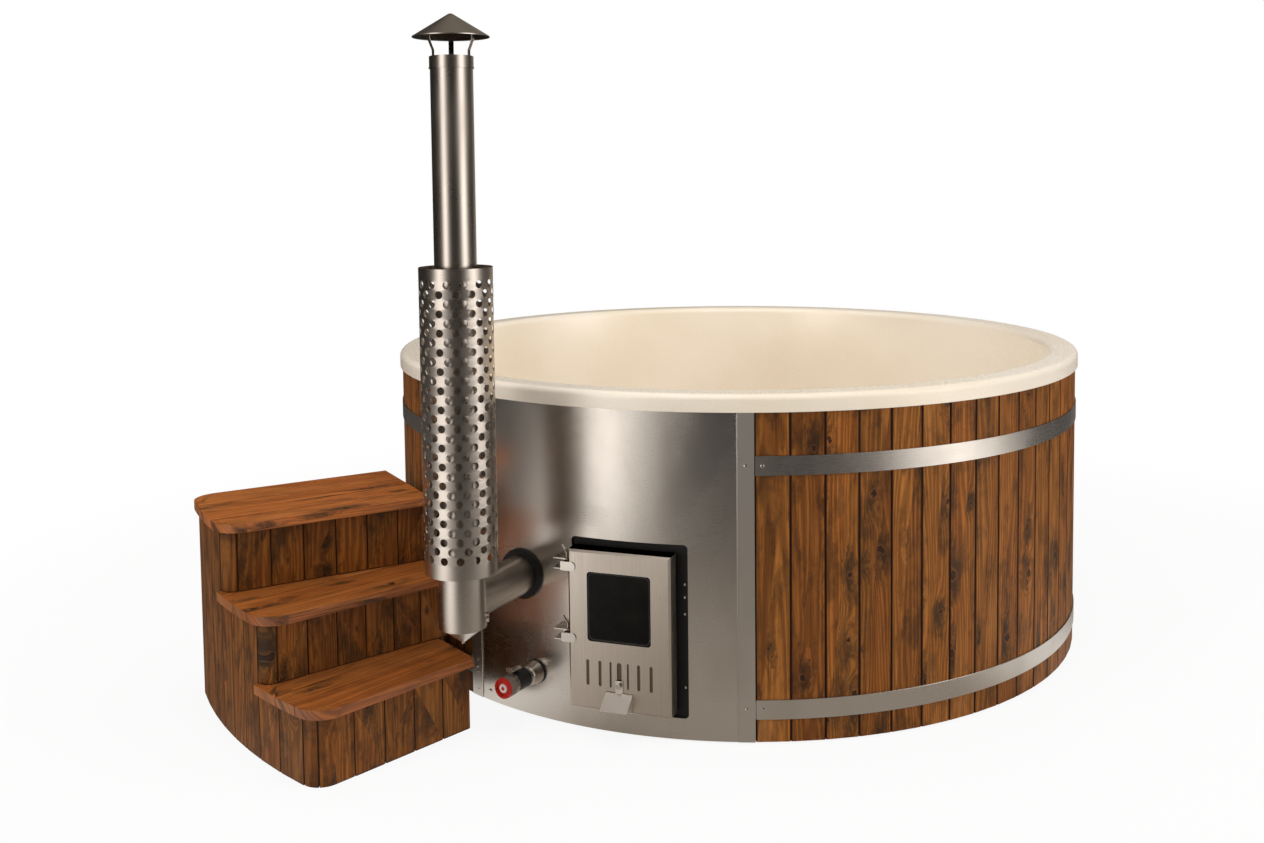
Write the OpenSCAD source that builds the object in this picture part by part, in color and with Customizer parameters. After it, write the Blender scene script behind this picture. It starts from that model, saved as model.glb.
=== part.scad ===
// Wooden hot tub with a wood-fired furnace in its wall, a chimney, a drain and a flight of steps.
// The origin is on the floor under the tub's axis. The furnace door faces -Y and +Z is up.
// Directions round the tub are angles from -Y, positive towards +X.

/* [Tub] */
// Outer radius of the moulded rim
rim_r = 1200; // [1000:10:1400]
// Height of the rim's top over the floor
tub_h = 992; // [880:1:1150]
// Width of the rim's top, from the outside to the wall
rim_w = 100; // [80:1:130]
// Height of the rim's turned-down lip
lip_h = 50; // [35:1:70]
// Thickness of the lip
lip_t = 6; // [4:0.5:7]
// Radius of the rim's rounded outer edge
rim_round = 18; // [8:1:25]
// Thickness of the moulded shell
shell_t = 8; // [5:0.5:12]
// How far the wall leans in between its top and the bathing floor
wall_lean = 40; // [0:1:60]
// Height of the bathing floor over the ground
floor_z = 78; // [60:1:110]
// Height of the moulded seat's top over the ground
seat_z = 448; // [380:1:520]
// Radius of the seat's front edge
seat_r = 700; // [600:5:800]
// Half of the front sector that the seat leaves to the furnace, in degrees
seat_gap_a = 44; // [40:1:60]

/* [Boards and bands] */
// Gap between the rim's outside and the boards' outside
board_inset = 8; // [7.5:0.5:12]
// Thickness of a wall board
board_t = 22; // [16:1:28]
// Number of boards round the wall
board_count = 66; // [45:3:90]
// Open joint between neighbouring boards
board_joint = 1.2; // [0.5:0.1:3]
// Chamfer on a board's long outer edges
board_chamfer = 3; // [1:0.5:5]
// Height of the boards' lower ends over the floor
board_z = 6; // [3:1:15]
// Width of a steel band
hoop_w = 55; // [30:1:80]
// Thickness of a steel band
hoop_t = 3; // [1.5:0.5:4]
// Height of the upper band's middle
hoop_upper_z = 792; // [700:1:860]
// Height of the lower band's middle
hoop_lower_z = 99.5; // [60:0.5:200]
// Width of the timber rings and posts that carry the boards
ring_w = 52; // [40:1:54]
// Height of a timber ring
ring_h = 40; // [25:1:50]

/* [Front sheet] */
// Thickness of the curved front sheet
sheet_t = 1.5; // [1:0.5:2]
// Direction of the left edge strip's middle
strip_left_a = -26.05; // [-28:0.05:-24]
// Direction of the right edge strip's middle
strip_right_a = 16.85; // [15:0.05:20]
// Width of an edge strip
strip_w = 48; // [35:1:60]
// Thickness of an edge strip
strip_t = 1.5; // [1:0.5:3]
// Radius of a rivet's or screw's head
rivet_r = 5.5; // [4:0.5:8]
// Width of the opening round the furnace door
cut_w = 348; // [340:1:360]
// Height of the opening's lower edge
cut_z = 67; // [60:1:75]
// Height of the opening
cut_h = 498; // [490:1:510]
// How far the opening's middle lies to the right of the door's
cut_shift = 13; // [5:1:18]
// Corner radius of the opening
cut_round = 12; // [4:1:20]

/* [Furnace] */
// Width of the firebox
box_w = 280; // [264:1:300]
// Height of the firebox's underside over the ground
box_z = 105; // [100:1:110]
// Height of the firebox
box_h = 455; // [440:1:470]
// Distance of the firebox's back behind the rim's outside
box_deep = 560; // [500:5:580]
// Thickness of the furnace's sheet
steel_t = 3; // [2:0.5:5]
// Distance of the shell's flat furnace wall behind the rim's outside
niche_deep = 200; // [180:1:220]
// Height of the furnace niche's top
niche_z = 640; // [620:5:700]
// Width of the mouth that the door closes
mouth_w = 250; // [220:1:256]
// Height of the mouth's lower edge
mouth_z = 120; // [116:1:130]
// Height of the mouth
mouth_h = 385; // [350:1:400]

/* [Furnace door] */
// Width of the door
door_w = 306; // [290:1:310]
// Height of the door
door_h = 457; // [440:1:465]
// Height of the door's lower edge
door_z = 84; // [80:1:90]
// How far the door's face stands out from the boards' face
door_proud = 43; // [35:1:60]
// Thickness of the door's folded sheet
door_t = 2; // [1.5:0.5:3]
// Chamfer along the door's front edges
door_chamfer = 6; // [2:0.5:9]
// Width of the window
glass_w = 190; // [160:1:200]
// Height of the window
glass_h = 200; // [160:1:205]
// Height of the window's lower edge
glass_z = 281; // [280:1:290]
// Thickness of the glass
glass_t = 4; // [3:0.5:5]
// Height of the air slots' lower ends
slot_z = 153; // [150:1:158]
// Height of the air slots
slot_h = 74; // [60:1:76]
// Width of the middle slot, which the shutter's stud runs in
slot_mid_w = 14; // [10:0.5:16]
// Distance of the hinge's axis from the door's edge
hinge_out = 12; // [11:0.5:14]
// Radius of the hinge pins
hinge_pin_r = 4; // [3:0.5:5]
// Height of the upper hinge's ear
hinge_upper_z = 505; // [490:1:510]
// Height of the lower hinge's ear
hinge_lower_z = 298; // [280:1:310]
// Height of a hinge barrel
barrel_h = 26; // [20:1:32]
// Radius of a hinge barrel
barrel_r = 9; // [7.5:0.5:9.5]

/* [Air shutter] */
// Width of the shutter plate
shutter_w = 220; // [210:1:222]
// Height of the shutter plate
shutter_h = 77; // [60:1:78]
// Width of the folded handle
handle_w = 80; // [60:1:100]
// How far the handle stands out from the door's face
handle_out = 52; // [35:1:60]

/* [Chimney] */
// Direction of the flue hole in the front sheet
flue_a = -16.4; // [-17.5:0.1:-15.5]
// Height of the flue's axis
flue_z = 427; // [420:1:435]
// Direction that the flue branch runs in
flue_turn = -8; // [-10:0.5:-6]
// Distance from the front sheet to the chimney's axis along the branch
flue_reach = 305; // [290:1:330]
// Outer radius of the flue branch
branch_r = 57; // [50:0.5:60]
// Outer radius of the tee's body
tee_r = 66; // [62:0.5:72]
// Height of the tee's lower end
tee_z = 366.5; // [355:0.5:368]
// Height of the cone under the tee's condensate cup
cup_cone = 44; // [20:1:60]
// Height of the tee's upper end
tee_top = 600; // [580:1:640]
// Outer radius of the chimney pipe
pipe_r = 57.5; // [50:0.5:60]
// Wall thickness of pipe, tee and branch
pipe_t = 2; // [1:0.5:3]
// Height of the pipe's top
pipe_top = 1922; // [1800:1:2200]
// Outer radius of the perforated heat guard
guard_r = 101; // [95:0.5:110]
// Wall thickness of the guard
guard_t = 1.5; // [1:0.5:2]
// Height of the guard's lower edge
guard_z = 521; // [505:0.5:540]
// Height of the guard's upper edge
guard_top = 1357; // [1300:1:1400]
// Radius of a guard hole
hole_r = 10.8; // [8:0.1:11]
// Holes in one row of the guard, an even number
hole_cols = 14; // [10:2:16]
// Rows of holes in the guard
hole_rows = 30; // [25:1:31]
// Radius of the rain cap
cap_r = 103.5; // [90:0.5:130]
// Height of the rain cap's rim
cap_z = 1972; // [1960:1:2300]
// Height of the rain cap's cone
cap_h = 63; // [45:1:90]

/* [Drain] */
// Direction of the drain
drain_a = -14.1; // [-14.6:0.1:-13.6]
// Height of the drain's axis
drain_z = 140; // [135:1:146]
// Outer radius of the drain tube
drain_r = 25; // [20:0.5:27]
// Radius of the valve's body
valve_r = 27.5; // [27:0.5:32]
// Length of the valve's body
valve_len = 53; // [50:1:60]
// Radius of the red cap
plug_r = 29; // [28:0.5:36]
// Length of the red cap
plug_len = 32; // [28:1:40]

/* [Steps] */
// Rise of the lower step
rise_lower = 215; // [190:1:225]
// Rise of the middle step
rise_middle = 193; // [170:1:215]
// Rise of the upper step
rise_upper = 203; // [170:1:215]
// Thickness of a tread
tread_t = 26; // [20:1:40]
// Distance of the treads' outer edge from the rim's outside
steps_out = 696; // [640:1:800]
// Direction that the steps' inner side faces away from
steps_a = -42.7; // [-44:0.1:-42]
// Distance of the risers' inner ends from the rim's outside, across the steps
steps_clear = 46; // [40:1:70]
// Place of the first riser's inner end along the steps
riser_x = 545.5; // [530:0.5:565]
// Distance from the first riser's inner end to the second's
going_lower = 186.5; // [175:0.5:205]
// Distance from the second riser's inner end to the third's
going_upper = 162; // [155:0.5:190]
// How much the first riser is skewed
riser_skew = 20; // [18:0.5:22]
// How much less the second riser is skewed than the first
fan_lower = 7; // [5:0.5:9]
// How much less the third riser is skewed than the second
fan_upper = 10; // [8:0.5:12]
// Depth of the upper tread behind its riser
platform = 402; // [360:1:460]
// Overhang of the upper tread at its back
back_over = 10; // [6:1:16]
// Overhang of a tread in front of its riser
nosing = 22; // [15:1:40]
// Overhang of a tread over the outer wall
side_over = 14; // [8:1:20]
// Overhang of a tread over the inner wall
inner_over = 2; // [1:0.5:12]
// Corner radius of a tread
tread_round = 80; // [60:1:100]
// Width of a tread's boards
tread_board = 95; // [85:1:100]
// Open joint between a tread's boards
tread_joint = 3; // [2:0.5:5]
// Radius of the walls' round outer corners at the front and the back
corner_r = 60; // [45:1:75]
// Radius of the outer corners of the two upper risers
corner_up_r = 40; // [30:1:55]
// Flat part of a corner board, next to its bend
corner_lead = 60; // [40:1:80]
// Thickness of the steps' wall boards
clad_t = 16; // [12:1:18]
// Width that a board of the steps' walls aims at
clad_w = 97; // [70:1:120]

/* [Hidden] */
$fn = 96;
gap = 0.3;
cutter = 1;
wood = "#8f5527";
raw_wood = "#c9a26b";
steel = "#b9b4ad";
dark_steel = "#4a4743";
black = "#1b1a19";
cream = "#eadfcb";

board_r = rim_r - board_inset;
sheet_r = board_r + 1;
sheet_in = sheet_r - sheet_t;
strip_r = sheet_r + gap;
strip_half = asin(strip_w / 2 / strip_r);
clad_from = strip_right_a + strip_half + 0.06;
clad_span = 360 + strip_left_a - strip_half - 0.06 - clad_from;
board_pitch = clad_span / board_count;
third = floor(board_count / 3);
board_back = board_r * cos(board_pitch / 2) - board_t;
ring_r = board_back - gap;
ring_in = ring_r - ring_w;
under_rim = tub_h - shell_t;
ring_z = [0, 470, under_rim - ring_h - gap];
wall_top_r = rim_r - rim_w;
wide_gap = 0.9;

door_front = board_r + door_proud;
frame_reach = cut_w / 2 + cut_shift + 18;
frame_y = sqrt(pow(sheet_in, 2) - pow(frame_reach, 2)) - 1.5;
frame_t = 4;
door_back = frame_y + 8;
hinge_x = -door_w / 2 - hinge_out;
hinge_y = door_front - 25;
ear_t = 3;
ear_edge = 7;
seal_w = 12;
back_t = 2;
window_edge = 12;
retainer_t = 2;
glass_y = door_front - door_t - gap;
retainer_y = glass_y - glass_t - gap;
stud_r = 4;
stud_z = slot_z + 9;
shutter_z = slot_z - (shutter_h - slot_h) / 2;
shutter_travel = glass_z - window_edge - shutter_z - shutter_h - 0.5;
slot_x = [26, 58, 95];
slot_w = [6, 9, 9];

box_front = frame_y - frame_t - gap;
box_back = rim_r - box_deep;
niche_y = rim_r - niche_deep;
flange_w = 35;
flange_rim = 22;
grate_z = box_z + 50;
seal_t = 3;
duct_z = 355;
duct_h = 145;
duct_deep = 140;
duct_front = niche_y - seal_t - steel_t - gap * 3 - 2;
spigot_r = branch_r - pipe_t - gap;

flue_x = sheet_r * sin(flue_a);
flue_y = -sheet_r * cos(flue_a);
duct_x = flue_x - branch_r + 4;
chimney_x = flue_x + flue_reach * sin(flue_turn);
chimney_y = flue_y - flue_reach * cos(flue_turn);
spigot_in = (-duct_front - flue_y) / cos(flue_turn);
spigot_out = 45;

tube_end = 55;
drain_in = sheet_r - niche_y / cos(drain_a) + 21;
valve_from = tube_end + gap;
valve_to = valve_from + valve_len;
nipple_r = 22;
nipple_to = valve_to + 36;
ball_r = 21;
drain_bore = 15;
stem_r = 5;
lever_z = 38;
ring_from = valve_to + gap;
ring_len = 15;
plug_from = ring_from + ring_len + gap;

tread_r = rim_r + steps_out;
steps_r = tread_r - side_over;
steps_in = rim_r + steps_clear;
bearer = 45;
span = 2 * tread_r;

// Turns what is drawn at -Y to the direction a.
module toward(a) rotate([0, 0, a]) children();

// A curved bar between two radii, two heights and two directions.
module arc_band(r0, r1, z0, z1, a0, a1)
    rotate([0, 0, a0 - 90]) translate([0, 0, z0])
        rotate_extrude(angle = a1 - a0, $fn = 360) translate([r0, 0]) square([r1 - r0, z1 - z0]);

// A ring or tube that stands on z0.
module tube(r_out, r_in, z0, z1) translate([0, 0, z0]) difference() {
    cylinder(r = r_out, h = z1 - z0);
    translate([0, 0, -cutter]) cylinder(r = r_in, h = z1 - z0 + 2 * cutter);
}

// A rectangle with round corners, its lower edge's middle at the origin.
module round_rect(w, h, r) {
    translate([-w / 2 + r, 0]) square([w - 2 * r, h]);
    translate([-w / 2, r]) square([w, h - 2 * r]);
    for (x = [-w / 2 + r, w / 2 - r], y = [r, h - r]) translate([x, y]) circle(r);
}

// A plate or a cutter that faces -Y: its outline stands in the XZ plane, between two depths.
module facing(y_front, y_back, z = 0, x = 0)
    translate([x, -y_back, z]) rotate([90, 0, 0]) linear_extrude(y_front - y_back) children();

// A round bar or a cutter that runs out from the tub's axis at the height z.
module outward(a, z, r, from, to)
    toward(a) translate([0, -from, z]) rotate([90, 0, 0]) cylinder(r = r, h = to - from);

// What is drawn on the Z axis, turned to run out along the drain.
module on_drain() toward(drain_a) translate([0, -sheet_r, drain_z]) rotate([90, 0, 0]) children();

// What is drawn on the Z axis, turned to run out along the flue branch.
module on_flue() translate([flue_x, flue_y, flue_z]) rotate([0, 0, flue_turn])
    rotate([90, 0, 0]) children();

// What is drawn on the Z axis, moved to the chimney's axis.
module on_chimney() translate([chimney_x, chimney_y, 0]) children();

// A low domed head that stands on z = 0.
module rivet_head(r) {
    cylinder(r = r, h = 0.8);
    translate([0, 0, 0.8]) cylinder(r1 = r, r2 = r * 0.5, h = 1.2);
}

// Inner radius of the shell's wall at the height z.
function wall_r(z) = wall_top_r - wall_lean * (tub_h - z) / (tub_h - floor_z);

// Points of an arc round [x, y].
function arc_points(x, y, r, from, to, n = 6) =
    [for (i = [0:n]) let (t = from + (to - from) * i / n) [x + r * cos(t), y + r * sin(t)]];

/* ---- Tub ---- */

// Each ring is butted from short curved timbers; the middle one leaves out the front sheet.
module carrier_rings() color(raw_wood) for (level = [0:2]) {
    from = level == 1 ? clad_from : 0;
    count = level == 1 ? 14 : 16;
    turn = (level == 1 ? clad_span : 360) / count;
    for (i = [0:count - 1])
        arc_band(ring_in, ring_r, ring_z[level], ring_z[level] + ring_h,
            from + i * turn + 0.03, from + (i + 1) * turn - 0.03);
}

// Posts stand between the rings, clear of the furnace's sector.
module frame_posts() color(raw_wood)
    for (i = [0:10], level = [0:1]) toward(clad_from + clad_span * (i + 0.2) / 10.4)
        translate([-30, -ring_r + 8, ring_z[level] + ring_h])
            cube([60, 32, ring_z[level + 1] - ring_z[level] - ring_h]);

module base_frame() color(raw_wood) {
    joist_w = 45;
    reach = ring_in - 10;
    for (i = [-2:2]) {
        x = i * rim_r / 3;
        half = sqrt(pow(reach, 2) - pow(abs(x) + joist_w / 2, 2));
        translate([x - joist_w / 2, -half, 0]) cube([joist_w, 2 * half, floor_z - shell_t]);
    }
}

foot_fillet = 50;
floor_r = wall_r(floor_z) - foot_fillet - 4;

module liner_section() {
    top_fillet = 25;
    foot_r = wall_r(floor_z);
    polygon(concat(
        [[floor_r, floor_z - shell_t], [wall_r(floor_z) + shell_t, floor_z - shell_t],
         [wall_top_r + shell_t, under_rim], [rim_r - lip_t, under_rim],
         [rim_r - lip_t, tub_h - lip_h], [rim_r, tub_h - lip_h]],
        arc_points(rim_r - rim_round, tub_h - rim_round, rim_round, 0, 90),
        arc_points(wall_top_r + top_fillet - 1, tub_h - top_fillet, top_fillet, 90, 178),
        arc_points(foot_r - foot_fillet + 1, floor_z + foot_fillet, foot_fillet, -2, -90),
        [[floor_r, floor_z]]));
}

// The space in front of the furnace wall, inside the shell's wall.
module niche(inset) intersection() {
    translate([-rim_r, -rim_r, inset > 0 ? floor_z : floor_z - cutter])
        cube([2 * rim_r, rim_r - niche_y - inset, niche_z - inset - floor_z + (inset > 0 ? 0 : cutter)]);
    translate([0, 0, floor_z - cutter])
        cylinder(r1 = wall_r(floor_z - cutter) + (inset > 0 ? 0 : 2),
            r2 = wall_r(niche_z) + (inset > 0 ? 0 : 2), h = niche_z - floor_z + cutter);
}

module liner_shell() color(cream) difference() {
    union() {
        rotate_extrude() liner_section();
        niche(0);
    }
    niche(shell_t);
    translate([-box_w / 2 - 1, -rim_r, box_z - 1])
        cube([box_w + 2, rim_r - niche_y + cutter, box_h + 2]);
    on_flue() translate([0, 0, -spigot_in]) cylinder(r = branch_r + gap, h = spigot_in);
    outward(drain_a, drain_z, drain_r + gap, niche_y - cutter, rim_r);
}

// The round bottom that the moulded wall stands on, bonded in at the wall's foot.
module liner_floor() color(cream) intersection() {
    translate([0, 0, floor_z - shell_t]) cylinder(r = floor_r - wide_gap, h = shell_t, $fn = 360);
    translate([-rim_r, wide_gap - niche_y, 0]) cube([2 * rim_r, 2 * rim_r, tub_h]);
}

module bench_seat() color(cream) {
    outer = wall_r(seat_z - shell_t) - wide_gap;
    arc_band(seat_r, outer, seat_z - shell_t, seat_z, seat_gap_a, 360 - seat_gap_a);
    arc_band(seat_r, seat_r + shell_t, floor_z + gap, seat_z - shell_t, seat_gap_a, 360 - seat_gap_a);
}

module heater_fence() color(raw_wood) {
    slat_w = 60;
    fence_y = box_back - 40;
    half = 420;
    count = 11;
    for (i = [0:count - 1])
        translate([-half + i * (2 * half - slat_w) / (count - 1), -fence_y, floor_z + gap])
            cube([slat_w, 18, niche_z - floor_z]);
    for (z = [200, niche_z - 90])
        translate([-half, -fence_y + 18, z]) cube([2 * half, 25, 40]);
}

// One wall board, standing at -Y.
module wall_board() {
    face = board_r * cos(board_pitch / 2);
    back = face - board_t;
    slope = tan(board_pitch / 2);
    half = face * slope - board_joint / 2;
    half_back = back * slope - board_joint / 2;
    half_low = (face - board_chamfer) * slope - board_joint / 2;
    translate([0, 0, board_z]) linear_extrude(under_rim - gap - board_z)
        polygon([[-half_back, -back], [half_back, -back], [half_low, -face + board_chamfer],
            [half - board_chamfer, -face], [board_chamfer - half, -face],
            [-half_low, -face + board_chamfer]]);
}

module wall_boards(from, to) color(wood)
    for (i = [from:to]) toward(clad_from + (i + 0.5) * board_pitch) wall_board();

module staves_right() wall_boards(0, third - 1);
module staves_back() wall_boards(third, 2 * third - 1);
module staves_left() wall_boards(2 * third, board_count - 1);

// A band round the boards, from one edge strip to the other.
module hoop(z) color(steel)
    arc_band(board_r + gap, board_r + gap + hoop_t, z - hoop_w / 2, z + hoop_w / 2,
        clad_from + 0.05, clad_from + clad_span - 0.05);
module hoop_upper() hoop(hoop_upper_z);
module hoop_lower() hoop(hoop_lower_z);

module hoop_screws() color(steel)
    for (z = [hoop_upper_z, hoop_lower_z], a = [clad_from + 1, clad_from + clad_span - 1])
        toward(a) translate([0, -board_r - gap - hoop_t, z]) rotate([90, 0, 0]) rivet_head(rivet_r);

/* ---- Front sheet ---- */

module front_panel() color(steel) difference() {
    arc_band(sheet_in, sheet_r, board_z, under_rim - gap,
        strip_left_a - strip_half, strip_right_a + strip_half);
    facing(rim_r, niche_y, cut_z, cut_shift) round_rect(cut_w, cut_h, cut_round);
    on_flue() translate([0, 0, -60]) cylinder(r = branch_r + 2, h = 120);
    outward(drain_a, drain_z, drain_r + 1.5, niche_y, rim_r);
}

module panel_battens() color(raw_wood) {
    back = ring_r + gap;
    front = sheet_in - gap;
    for (a = [strip_left_a, strip_right_a])
        arc_band(back, front, board_z, under_rim - gap, a - strip_half + 0.1, a + strip_half - 0.1);
    arc_band(back, front, ring_z[2], under_rim - gap,
        strip_left_a + strip_half, strip_right_a - strip_half);
    arc_band(back, front, board_z, ring_h, strip_left_a + strip_half, strip_right_a - strip_half);
}

module panel_strip(a) color(steel)
    arc_band(strip_r, strip_r + strip_t, board_z, tub_h - lip_h - 1, a - strip_half, a + strip_half);
module panel_strip_left() panel_strip(strip_left_a);
module panel_strip_right() panel_strip(strip_right_a);

module panel_rivets() color(steel)
    for (a = [strip_left_a, strip_right_a], z = [hoop_lower_z, hoop_upper_z])
        toward(a) translate([0, -strip_r - strip_t, z]) rotate([90, 0, 0]) rivet_head(rivet_r);

/* ---- Furnace ---- */

module furnace_body() color(dark_steel) {
    flange_half = box_w / 2 + flange_w;
    flange_front = niche_y - seal_t - 2 * gap;
    difference() {
        union() {
            translate([-box_w / 2, -box_front, box_z]) cube([box_w, box_front - box_back, box_h]);
            translate([-flange_half, -flange_front, box_z - flange_rim])
                cube([2 * flange_half, steel_t, box_h + 2 * flange_rim]);
            translate([duct_x, -duct_front, duct_z])
                cube([-duct_x - box_w / 2 + steel_t, duct_deep, duct_h]);
            on_flue() translate([0, 0, -spigot_in - steel_t])
                cylinder(r = spigot_r, h = spigot_in + steel_t + spigot_out);
        }
        translate([-box_w / 2 + steel_t, -box_front - cutter, box_z + steel_t])
            cube([box_w - 2 * steel_t, box_front - box_back - steel_t + cutter, box_h - 2 * steel_t]);
        translate([duct_x + steel_t, -duct_front + steel_t, duct_z + steel_t])
            cube([-duct_x - box_w / 2 - steel_t, duct_deep - 2 * steel_t, duct_h - 2 * steel_t]);
        translate([-box_w / 2 - cutter, -duct_front + 2 * steel_t, duct_z + 2 * steel_t])
            cube([steel_t + 2 * cutter, duct_deep - 4 * steel_t, duct_h - 4 * steel_t]);
        on_flue() translate([0, 0, -spigot_in - 3 * steel_t])
            cylinder(r = spigot_r - pipe_t, h = spigot_in + 3 * steel_t + spigot_out + cutter);
    }
    for (side = [-1, 1])
        translate([side * (box_w / 2 - steel_t) - (side > 0 ? 12 : 0), -box_front + 40, grate_z - steel_t])
            cube([12, box_front - box_back - 90, steel_t]);
}

module furnace_seals() color(black) {
    seal_front = niche_y - gap;
    difference() {
        facing(seal_front, seal_front - seal_t, box_z - flange_rim)
            round_rect(box_w + 2 * flange_w, box_h + 2 * flange_rim, 4);
        facing(seal_front + cutter, seal_front - seal_t - cutter, box_z - 1)
            round_rect(box_w + 2, box_h + 2, 4);
    }
    difference() {
        on_flue() translate([0, 0, -spigot_in - 10]) cylinder(r = branch_r + 12, h = 40);
        on_flue() translate([0, 0, -spigot_in - 20]) cylinder(r = spigot_r + gap, h = 60);
        translate([-rim_r, -rim_r, 0]) cube([2 * rim_r, rim_r - seal_front, tub_h]);
        translate([-rim_r, -seal_front + seal_t, 0]) cube([2 * rim_r, rim_r, tub_h]);
    }
}

module flange_bolts() color(steel) {
    face = niche_y - seal_t - 2 * gap - steel_t;
    x_out = box_w / 2 + flange_w * 0.55;
    for (x = [-x_out, x_out], z = [box_z + 30, box_z + 150, box_z + 235, box_z + box_h - 20])
        if (x > 0 || z < duct_z - 20 || z > duct_z + duct_h + 20)
            facing(face, face - 6, z, x) circle(r = 7, $fn = 6);
}

module furnace_frame() color(black) difference() {
    translate([-frame_reach + 2 * cut_shift, -frame_y, cut_z - 18])
        cube([2 * frame_reach - 2 * cut_shift, frame_t, cut_h + 36]);
    facing(frame_y + cutter, frame_y - frame_t - cutter, mouth_z) round_rect(mouth_w, mouth_h, 8);
}

module fire_grate() color(black) {
    bars = 9;
    bar_w = 12;
    width = box_w - 2 * steel_t - 8;
    front = box_front - 60;
    back = box_back + 70;
    for (i = [0:bars - 1])
        translate([-width / 2 + i * (width - bar_w) / (bars - 1), -front, grate_z + gap])
            cube([bar_w, front - back, 14]);
    for (y = [front, back + 14])
        translate([-width / 2, -y, grate_z + gap]) cube([width, 14, 14]);
}

module ash_tray() color(dark_steel) difference() {
    w = box_w - 2 * steel_t - 20;
    front = box_front - 30;
    back = box_back + 90;
    h = grate_z - box_z - 2 * steel_t - 8;
    translate([-w / 2, -front, box_z + steel_t]) cube([w, front - back, h]);
    translate([-w / 2 + 2, -front + 2, box_z + steel_t + 2]) cube([w - 4, front - back - 4, h]);
}

module smoke_baffle() color(dark_steel)
    translate([-box_w / 2 + steel_t + gap, -box_front + 130, mouth_z + mouth_h - 2])
        cube([box_w - 2 * steel_t - 2 * gap, box_front - box_back - 130 - steel_t - gap, 6]);

// Two ears hold each hinge pin, one over and one under the door's barrel.
module hinge_ears() color(steel) for (z = [hinge_upper_z, hinge_lower_z], low = [0, 1])
    translate([0, 0, z - low * (barrel_h + ear_t + 2 * gap)]) difference() {
        translate([hinge_x - 40, -hinge_y - ear_edge, 0]) cube([40 + ear_edge, rim_r - niche_y, ear_t]);
        translate([0, 0, -cutter]) cylinder(r = sheet_r + gap, h = ear_t + 2 * cutter, $fn = 360);
        translate([hinge_x, -hinge_y, -cutter]) cylinder(r = hinge_pin_r + 0.05, h = ear_t + 2 * cutter);
    }

// Each pin has a foot under its lower ear and a bent hook over its upper one.
module hinge_pins() color(steel) for (z = [hinge_upper_z, hinge_lower_z])
    translate([hinge_x, -hinge_y, z]) {
        foot = barrel_h + ear_t + 2 * gap;
        translate([0, 0, -foot - 4 - gap]) cylinder(r = hinge_pin_r + 2.5, h = 4);
        translate([0, 0, -foot - 1]) cylinder(r = hinge_pin_r, h = foot + 1 + 20);
        translate([0, 0, 18]) rotate([0, -32, 0]) cylinder(r = hinge_pin_r - 0.5, h = 26);
    }

/* ---- Furnace door ---- */

// A box with chamfered front edges: its face stands at the depth front, its back at back.
module bevel_box(w, h, front, back, c, z) intersection() {
    translate([0, 0, z]) linear_extrude(h)
        polygon([[-w / 2, -back], [w / 2, -back], [w / 2, -front + c], [w / 2 - c, -front],
            [c - w / 2, -front], [-w / 2, -front + c]]);
    rotate([90, 0, 90]) translate([0, 0, -w / 2]) linear_extrude(w)
        polygon([[-back, z], [-back, z + h], [-front + c, z + h], [-front, z + h - c],
            [-front, z + c], [-front + c, z]]);
}

module door_shell() color(steel) {
    difference() {
        bevel_box(door_w, door_h, door_front, door_back, door_chamfer, door_z);
        bevel_box(door_w - 2 * door_t, door_h - 2 * door_t, door_front - door_t, door_back - cutter,
            door_chamfer, door_z + door_t);
        facing(door_front + cutter, door_front - door_t - cutter, glass_z)
            round_rect(glass_w, glass_h, 10);
        facing(door_front + cutter, door_front - door_t - cutter, slot_z)
            round_rect(slot_mid_w, slot_h, slot_mid_w / 2 - 0.01);
        for (i = [0:2], side = [-1, 1])
            facing(door_front + cutter, door_front - door_t - cutter, slot_z, side * slot_x[i])
                round_rect(slot_w[i], slot_h, slot_w[i] / 2 - 0.01);
    }
    for (side = [-1, 1])
        translate([side * (shutter_w / 2 + 2.5) - 1.5, -door_front + door_t, door_z + door_t])
            cube([3, 6, glass_z - window_edge - 6 - door_z]);
}

// The plate that closes the door's back and carries the seal.
module door_back_plate() color(dark_steel) difference() {
    w = door_w - 2 * door_t - 2 * gap;
    facing(door_back + back_t + 4, door_back + 4, door_z + door_t + gap)
        square_from_middle(w, door_h - 2 * door_t - 2 * gap);
    facing(door_back + 20, door_back - cutter, glass_z - 3) round_rect(glass_w + 6, glass_h + 6, 10);
    facing(door_back + 20, door_back - cutter, mouth_z + 14) round_rect(150, 50, 8);
}

module square_from_middle(w, h) translate([-w / 2, 0]) square([w, h]);

module door_rope_seal() color(raw_wood) difference() {
    w = mouth_w + 2 * seal_w + 12;
    h = mouth_h + 2 * seal_w + 12;
    z = mouth_z - seal_w - 6;
    facing(door_back + 4 - gap, frame_y + gap, z) round_rect(w, h, 20);
    facing(door_back + 5, frame_y - cutter, z + seal_w) round_rect(w - 2 * seal_w, h - 2 * seal_w, 8);
}

module door_glass() color("#20201f")
    facing(glass_y, glass_y - glass_t, glass_z - window_edge + 4)
        round_rect(glass_w + 2 * window_edge - 8, glass_h + 2 * window_edge - 8, 6);

module glass_retainer() color(dark_steel) difference() {
    facing(retainer_y, retainer_y - retainer_t, glass_z - window_edge)
        round_rect(glass_w + 2 * window_edge, glass_h + 2 * window_edge, 8);
    facing(retainer_y + cutter, retainer_y - retainer_t - cutter, glass_z + 2)
        round_rect(glass_w - 4, glass_h - 4, 8);
}

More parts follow.
